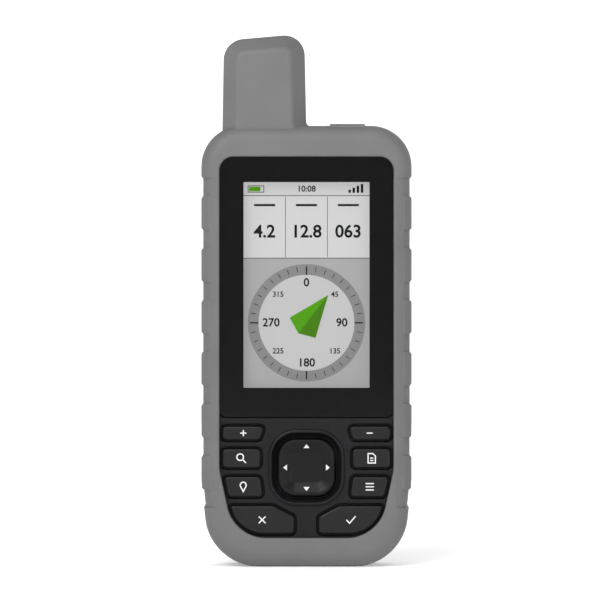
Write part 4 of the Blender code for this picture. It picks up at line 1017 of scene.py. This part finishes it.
# %% Flap over the socket
FLAP_ROUND = 0.5 * MM
FINGER_HALF = 4 * MM
FINGER_ROOT = 0.5 * MM
FINGER_PROUD = 0.8 * MM
FINGER_Z = (CAP_LOW.z + 1.4 * MM, CAP_LOW.z + 2.8 * MM)
FINGER_ROUND = 0.3 * MM
flap = solid(panel("socket_flap", CAP, CAP_LOW.y), CAP_HIGH.y - CAP_LOW.y)
round_rim(flap, BACK, FLAP_ROUND, steps=4)
finger_low = (-FINGER_HALF, BACK - FINGER_ROOT, FINGER_Z[0])
finger_high = (FINGER_HALF, BACK + FINGER_PROUD, FINGER_Z[1])
combine(flap, block("flap_lip", finger_low, finger_high), "UNION")
soften(flap, FINGER_ROUND)
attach(flap, "usb_cap")
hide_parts("usb_cap")
print("flap faces:", len(flap.data.polygons))

# %% [markdown]
# ## Finishes
# Every finish is a node material that reads Object coordinates, so its grain has a real size and
# stays put when a piece moves. One small function adds a node with its settings and links.
# The grain of a real mould is about 0.05 mm. A pixel of the photograph covers 0.3 mm, so the grain is
# drawn at 0.3 mm and more, as coarse as it has to be to show.

# %% Material helpers
GLOSS_SPREAD = 0.06
GRAIN_RELIEF = 0.2


def linear(code):
    """Hex colour as seen on a screen, turned to linear light by the standard sRGB curve."""
    values = [int(code[index:index + 2], 16) / 255 for index in (1, 3, 5)]
    light = [value / 12.92 if value <= 0.04045 else ((value + 0.055) / 1.055) ** 2.4 for value in values]
    return light + [1]


def add_node(material, kind, inputs=None, **settings):
    """Add a node, set its settings, and give each input a value or a link."""
    new = material.node_tree.nodes.new(kind)
    for key, value in settings.items():
        setattr(new, key, value)
    for socket, value in (inputs or {}).items():
        if isinstance(value, bpy.types.NodeSocket):
            material.node_tree.links.new(value, new.inputs[socket])
        else:
            new.inputs[socket].default_value = value
    return new


def ramp(material, value, span, result):
    """Carry a value over from one span to another."""
    limits = {"From Min": span[0], "From Max": span[1], "To Min": result[0], "To Max": result[1]}
    return add_node(material, "ShaderNodeMapRange", {"Value": value, **limits}).outputs["Result"]


def moulded(name, dark, light, rough, grain_mm, bump, cloud_mm=9, metallic=0.0, dim=1.0, **sockets):
    """Surface with a slow drift between two tones, and a fine grain that breaks up its gloss.

    The numbers are its roughness, the size of the grain, the strength of its relief and the size of
    the drift. Other inputs of the shader are given by name.
    """
    material = bpy.data.materials.new(name)
    material.use_nodes = True
    shader = material.node_tree.nodes["Principled BSDF"]
    place = add_node(material, "ShaderNodeTexCoord").outputs["Object"]
    cloud = add_node(material, "ShaderNodeTexNoise", {"Vector": place, "Scale": 1 / (cloud_mm * MM)})
    grain = add_node(material, "ShaderNodeTexNoise", {"Vector": place, "Scale": 1 / (grain_mm * MM)})
    tones = [[value * dim for value in linear(code)[:3]] + [1] for code in (dark, light)]
    tone = add_node(material, "ShaderNodeMixRGB", {"Fac": cloud.outputs["Fac"], "Color1": tones[0],
                                                  "Color2": tones[1]})
    gloss = ramp(material, grain.outputs["Fac"], (0, 1), (rough - GLOSS_SPREAD, rough + GLOSS_SPREAD))
    relief = add_node(material, "ShaderNodeBump", {"Height": grain.outputs["Fac"], "Strength": bump,
                                                  "Distance": grain_mm * MM * GRAIN_RELIEF})
    links = material.node_tree.links
    links.new(tone.outputs["Color"], shader.inputs["Base Color"])
    links.new(gloss, shader.inputs["Roughness"])
    links.new(relief.outputs["Normal"], shader.inputs["Normal"])
    shader.inputs["Metallic"].default_value = metallic
    for socket, value in sockets.items():
        shader.inputs[socket.replace("_", " ")].default_value = value
    return material


def paint(material, *pieces):
    """Give pieces one material in place of any they have."""
    for piece in pieces:
        piece.data.materials.clear()
        piece.data.materials.append(material)


# %% Silicone, plastic and rubber
# Moulded silicone: a dull grey skin whose fine mould grain spreads the light.
silicone = moulded("moulded_silicone", "#5b5b5c", "#656566", 0.6, 0.5, 0.25, 14)
paint(silicone, sleeve, pad)
# Spark-eroded ABS: near black, with the satin of a textured mould.
abs_black = moulded("textured_abs", "#101012", "#151517", 0.4, 0.35, 0.25, Specular_IOR_Level=0.2)
paint(abs_black, fascia)
# Satin rubber: a little lighter than the fascia, which lifts the keys out of it.
key_rubber = moulded("satin_key_rubber", "#171718", "#1c1c1d", 0.34, 0.4, 0.12, Specular_IOR_Level=0.22)
paint(key_rubber, *keys.values())
# Matt rubber: the thumb rocker is duller than the keys, so that its slopes stay dark.
rocker_rubber = moulded("matt_rocker_rubber", "#131314", "#181819", 0.38, 0.4, 0.12, Specular_IOR_Level=0.14)
paint(rocker_rubber, rocker)
# Screen ink: bright white print, slightly broken by the grain under it.
ink_white = moulded("white_screen_ink", "#d4d4d4", "#dedede", 0.55, 0.3, 0.1)
paint(ink_white, *signs)
# Glass-filled housing plastic of the back: dark, and rougher than the fascia.
abs_rear = moulded("glass_filled_abs", "#19191b", "#202022", 0.5, 0.4, 0.3, Specular_IOR_Level=0.3)
paint(abs_rear, door)
# Soft flap rubber: dull, because it is moulded against a blasted tool.
flap_rubber = moulded("moulded_flap_rubber", "#191919", "#1f1f1f", 0.7, 0.5, 0.25, Specular_IOR_Level=0.1)
paint(flap_rubber, flap)
# Satin stainless steel: the lock is the one bright thing on the back.
stainless = moulded("satin_stainless", "#8c8c8a", "#9c9c9a", 0.3, 0.3, 0.1, 5, 1.0)
paint(stainless, lock, lock_ring)

# %% Glass and display inks
# Polished glass with a black print behind it: deep black, its coating keeps reflections low.
glass_black = moulded("black_backed_glass", "#030303", "#050505", 0.12, 2.0, 0.0, 20,
                      Specular_IOR_Level=0.2)
paint(glass_black, border)
# Clear coated glass: it holds back a little light and shows a trace of gloss.
glass_clear = moulded("clear_window_glass", "#060707", "#0a0b0b", 0.1, 2.0, 0.0, 20, Alpha=0.04)
glass_clear.surface_render_method = "BLENDED"
paint(glass_clear, pane)
BACKLIGHT = 0.64
REFLECTED = 0.3


def lit(name, dark, light):
    """Layer of the display: a part of its tone is reflected light, and the backlight gives the rest."""
    material = moulded(name, dark, light, 0.5, 0.6, 0.02, 16, dim=REFLECTED, Specular_IOR_Level=0.1)
    shader = material.node_tree.nodes["Principled BSDF"]
    shader.inputs["Emission Color"].default_value = linear(light)
    shader.inputs["Emission Strength"].default_value = BACKLIGHT
    return material


# Layers of the liquid crystal display: pale ground, greys, dark figures and two greens, lit evenly.
paint(lit("lcd_pale_field", "#d0d0d0", "#d6d6d6"), lcd)
paint(lit("lcd_grey_field", "#a8a8a8", "#aeaeae"), shade)
paint(lit("lcd_dial_rim", "#868686", "#8c8c8c"), rim)
paint(lit("lcd_dial_face", "#c2c2c2", "#c8c8c8"), face)
paint(lit("lcd_dark_ink", "#0e0e10", "#141416"), ink)
paint(lit("lcd_bright_green", "#4a9606", "#539f0a"), bright, charge)
paint(lit("lcd_dim_green", "#3f7808", "#477f0c"), dim)

# %% Solids that keep their own shape
SCREWS = 6
screws = [nodes[f"housing_screw_{index + 1}"] for index in range(SCREWS)]
plated = ("spring_left", "spring_right", "link_plate", "contact_left", "contact_right")
contacts = [nodes[name] for name in plated]
seals = [nodes[name] for name in ("housing_seal", "lens_seal", "door_seal", "key_mat", "power_key")]
paint(abs_rear, nodes["rear_housing"])
# Cured seal rubber: almost black and dull.
paint(moulded("cured_seal_rubber", "#161616", "#1c1c1c", 0.75, 0.5, 0.2), *seals)
# Moulded nylon: black with a soft sheen, on the beeper's case and the rocker's pivot post.
paint(moulded("moulded_nylon", "#1a1a1a", "#222222", 0.5, 0.4, 0.1), nodes["beeper"], nodes["rocker_pivot"])
# White tray plastic: throws the backlight forward.
paint(moulded("white_tray_plastic", "#d8d8d6", "#e4e4e2", 0.5, 0.5, 0.1), nodes["backlight_tray"])
# Solder mask over copper: green, with a cloudy tone where the copper lies under it.
solder_mask = moulded("green_solder_mask", "#0f3d22", "#1a5a33", 0.4, 0.6, 0.15, 5)
paint(solder_mask, nodes["main_board"], nodes["io_board"])
# Tinned steel: pale grey with a soft sheen.
tinned = moulded("tinned_steel", "#b4b4b2", "#c4c4c2", 0.3, 0.5, 0.1, 6, 1.0)
paint(tinned, nodes["shield_can"], nodes["usb_socket"])
# Fired ceramic of the aerial: a warm off-white.
paint(moulded("fired_ceramic", "#c8bca4", "#d4c8b2", 0.4, 0.5, 0.1), nodes["aerial_helix"])
# Shrink wrap of the cells: a smooth slate grey film.
wrap = moulded("shrink_wrap_film", "#2b3540", "#36424e", 0.3, 1.0, 0.05, 10)
paint(wrap, nodes["cell_left"], nodes["cell_right"])
# Nickel plating: warm and bright on the springs and contacts.
paint(moulded("nickel_plating", "#c2bfb6", "#d2cfc6", 0.22, 0.4, 0.05, 4, 1.0), *contacts)
# Polyester film: milky, so that the domes under it show as a haze.
paint(moulded("polyester_film", "#c0c0b8", "#ccccc4", 0.35, 0.8, 0.05), nodes["dome_sheet"])
# Zinc plating: cool grey with a faint mottle on the screws.
paint(moulded("zinc_plating", "#a0a09c", "#b0b0ac", 0.3, 0.3, 0.1, 3, 1.0), *screws)
print("materials:", len(bpy.data.materials))

# %% [markdown]
# ## Studio
# A shallow round bowl serves as floor and backdrop, so that the ground runs up behind the unit with
# no edge from any side. The rim of a flat disc is drawn up and out in steps to make its wall.

# %% Floor and backdrop
BOWL_FLAT = 3.0
BOWL_WALL = 2.0
BOWL_STEPS = 8
bpy.ops.object.select_all(action="DESELECT")
bpy.ops.mesh.primitive_circle_add(vertices=ROUND_SIDES, radius=BOWL_FLAT, fill_type="TRIFAN")
floor_bowl = bpy.context.object
floor_bowl.name = "studio_bowl"
edit(floor_bowl)
for last, angle in quarter_turn(BOWL_STEPS):
    pick(floor_bowl, "EDGE", lambda edge: edge.is_boundary)
    lift = BOWL_WALL * (math.cos(last) - math.cos(angle))
    wide = (BOWL_FLAT + BOWL_WALL * math.sin(angle)) / (BOWL_FLAT + BOWL_WALL * math.sin(last))
    bpy.ops.mesh.extrude_region_move(TRANSFORM_OT_translate={"value": (0, 0, lift)})
    bpy.ops.transform.resize(value=(wide, wide, 1), center_override=(0, 0, 0))
bpy.ops.object.mode_set(mode="OBJECT")
smooth(floor_bowl, angle=60)
WHITE = "#ffffff"
floor_paint = moulded("painted_studio_floor", "#f1f1f1", "#f5f5f5", 0.8, 3.0, 0.02, 400)
# The floor glows as a light table does, more so far off and behind the unit. The ground stays white
# to the horizon, and the shadow stays faint. Distances are in metres.
GLOW_DISTANCE = (0.3, 1.6)
GLOW_NEAR_FAR = (0.5, 1.0)
GLOW_DEPTH = (-1.5, 1.0)
GLOW_FRONT_BACK = (0.25, 0.75)
place = add_node(floor_paint, "ShaderNodeTexCoord").outputs["Object"]
away = add_node(floor_paint, "ShaderNodeVectorMath", {0: place}, operation="LENGTH")
spread = ramp(floor_paint, away.outputs["Value"], GLOW_DISTANCE, GLOW_NEAR_FAR)
depth = add_node(floor_paint, "ShaderNodeSeparateXYZ", {"Vector": place})
behind = ramp(floor_paint, depth.outputs["Y"], GLOW_DEPTH, GLOW_FRONT_BACK)
glow = add_node(floor_paint, "ShaderNodeMath", {0: spread, 1: behind}, operation="MULTIPLY")
floor_shader = floor_paint.node_tree.nodes["Principled BSDF"]
floor_shader.inputs["Emission Color"].default_value = linear(WHITE)
floor_paint.node_tree.links.new(glow.outputs["Value"], floor_shader.inputs["Emission Strength"])
paint(floor_paint, floor_bowl)

# %% Light
AIR_LIGHT = 0.28
scene = bpy.context.scene
world = bpy.data.worlds.new("studio_air")
world.use_nodes = True
world.node_tree.nodes["Background"].inputs["Color"].default_value = linear(WHITE)
world.node_tree.nodes["Background"].inputs["Strength"].default_value = AIR_LIGHT
scene.world = world
scene.view_settings.view_transform = "Standard"
MIDDLE = Vector((0, 0, (CAD_BOX[0][2] + CAD_BOX[1][2]) / 2))


def softbox(name, place, size, power):
    """Square area light aimed at the middle of the unit: place and size in metres, power in watts."""
    light = bpy.data.lights.new(name, "AREA")
    light.size = size
    light.energy = power
    lamp = bpy.data.objects.new(name, light)
    scene.collection.objects.link(lamp)
    lamp.location = place
    lamp.rotation_euler = (MIDDLE - Vector(place)).to_track_quat("-Z", "Y").to_euler()


softbox("key_softbox", (-0.45, -1.0, 0.85), 0.8, 14)
softbox("fill_softbox", (0.8, -1.1, 0.15), 0.8, 4)
softbox("top_softbox", (0.1, -0.2, 1.3), 0.7, 1)
softbox("strip_softbox", (0.0, -0.8, 1.1), 0.35, 1.5)
softbox("back_softbox", (0.4, 1.4, 0.7), 1.0, 9)

# %% Camera
# The photograph looks straight at the front from afar, with the unit a little right of the middle.
PHOTO_PIXEL = 0.3155 * MM
PHOTO_SIZE = 600
OBJECT_MIDDLE_PX = 306.5
OBJECT_FOOT_PX = 567.3
DISTANCE = 1.5
SENSOR = 36
FARTHEST = 50
camera_data = bpy.data.cameras.new("photo_camera")
camera_data.sensor_width = SENSOR
camera_data.lens = SENSOR * DISTANCE / (PHOTO_SIZE * PHOTO_PIXEL)
camera_data.clip_end = FARTHEST
camera = bpy.data.objects.new("photo_camera", camera_data)
scene.collection.objects.link(camera)
across = (PHOTO_SIZE / 2 - OBJECT_MIDDLE_PX) * PHOTO_PIXEL
upward = (OBJECT_FOOT_PX - PHOTO_SIZE / 2) * PHOTO_PIXEL
camera.location = (across, FRONT - SKIN - DISTANCE, upward)
camera.rotation_euler = (math.pi / 2, 0, 0)
scene.camera = camera
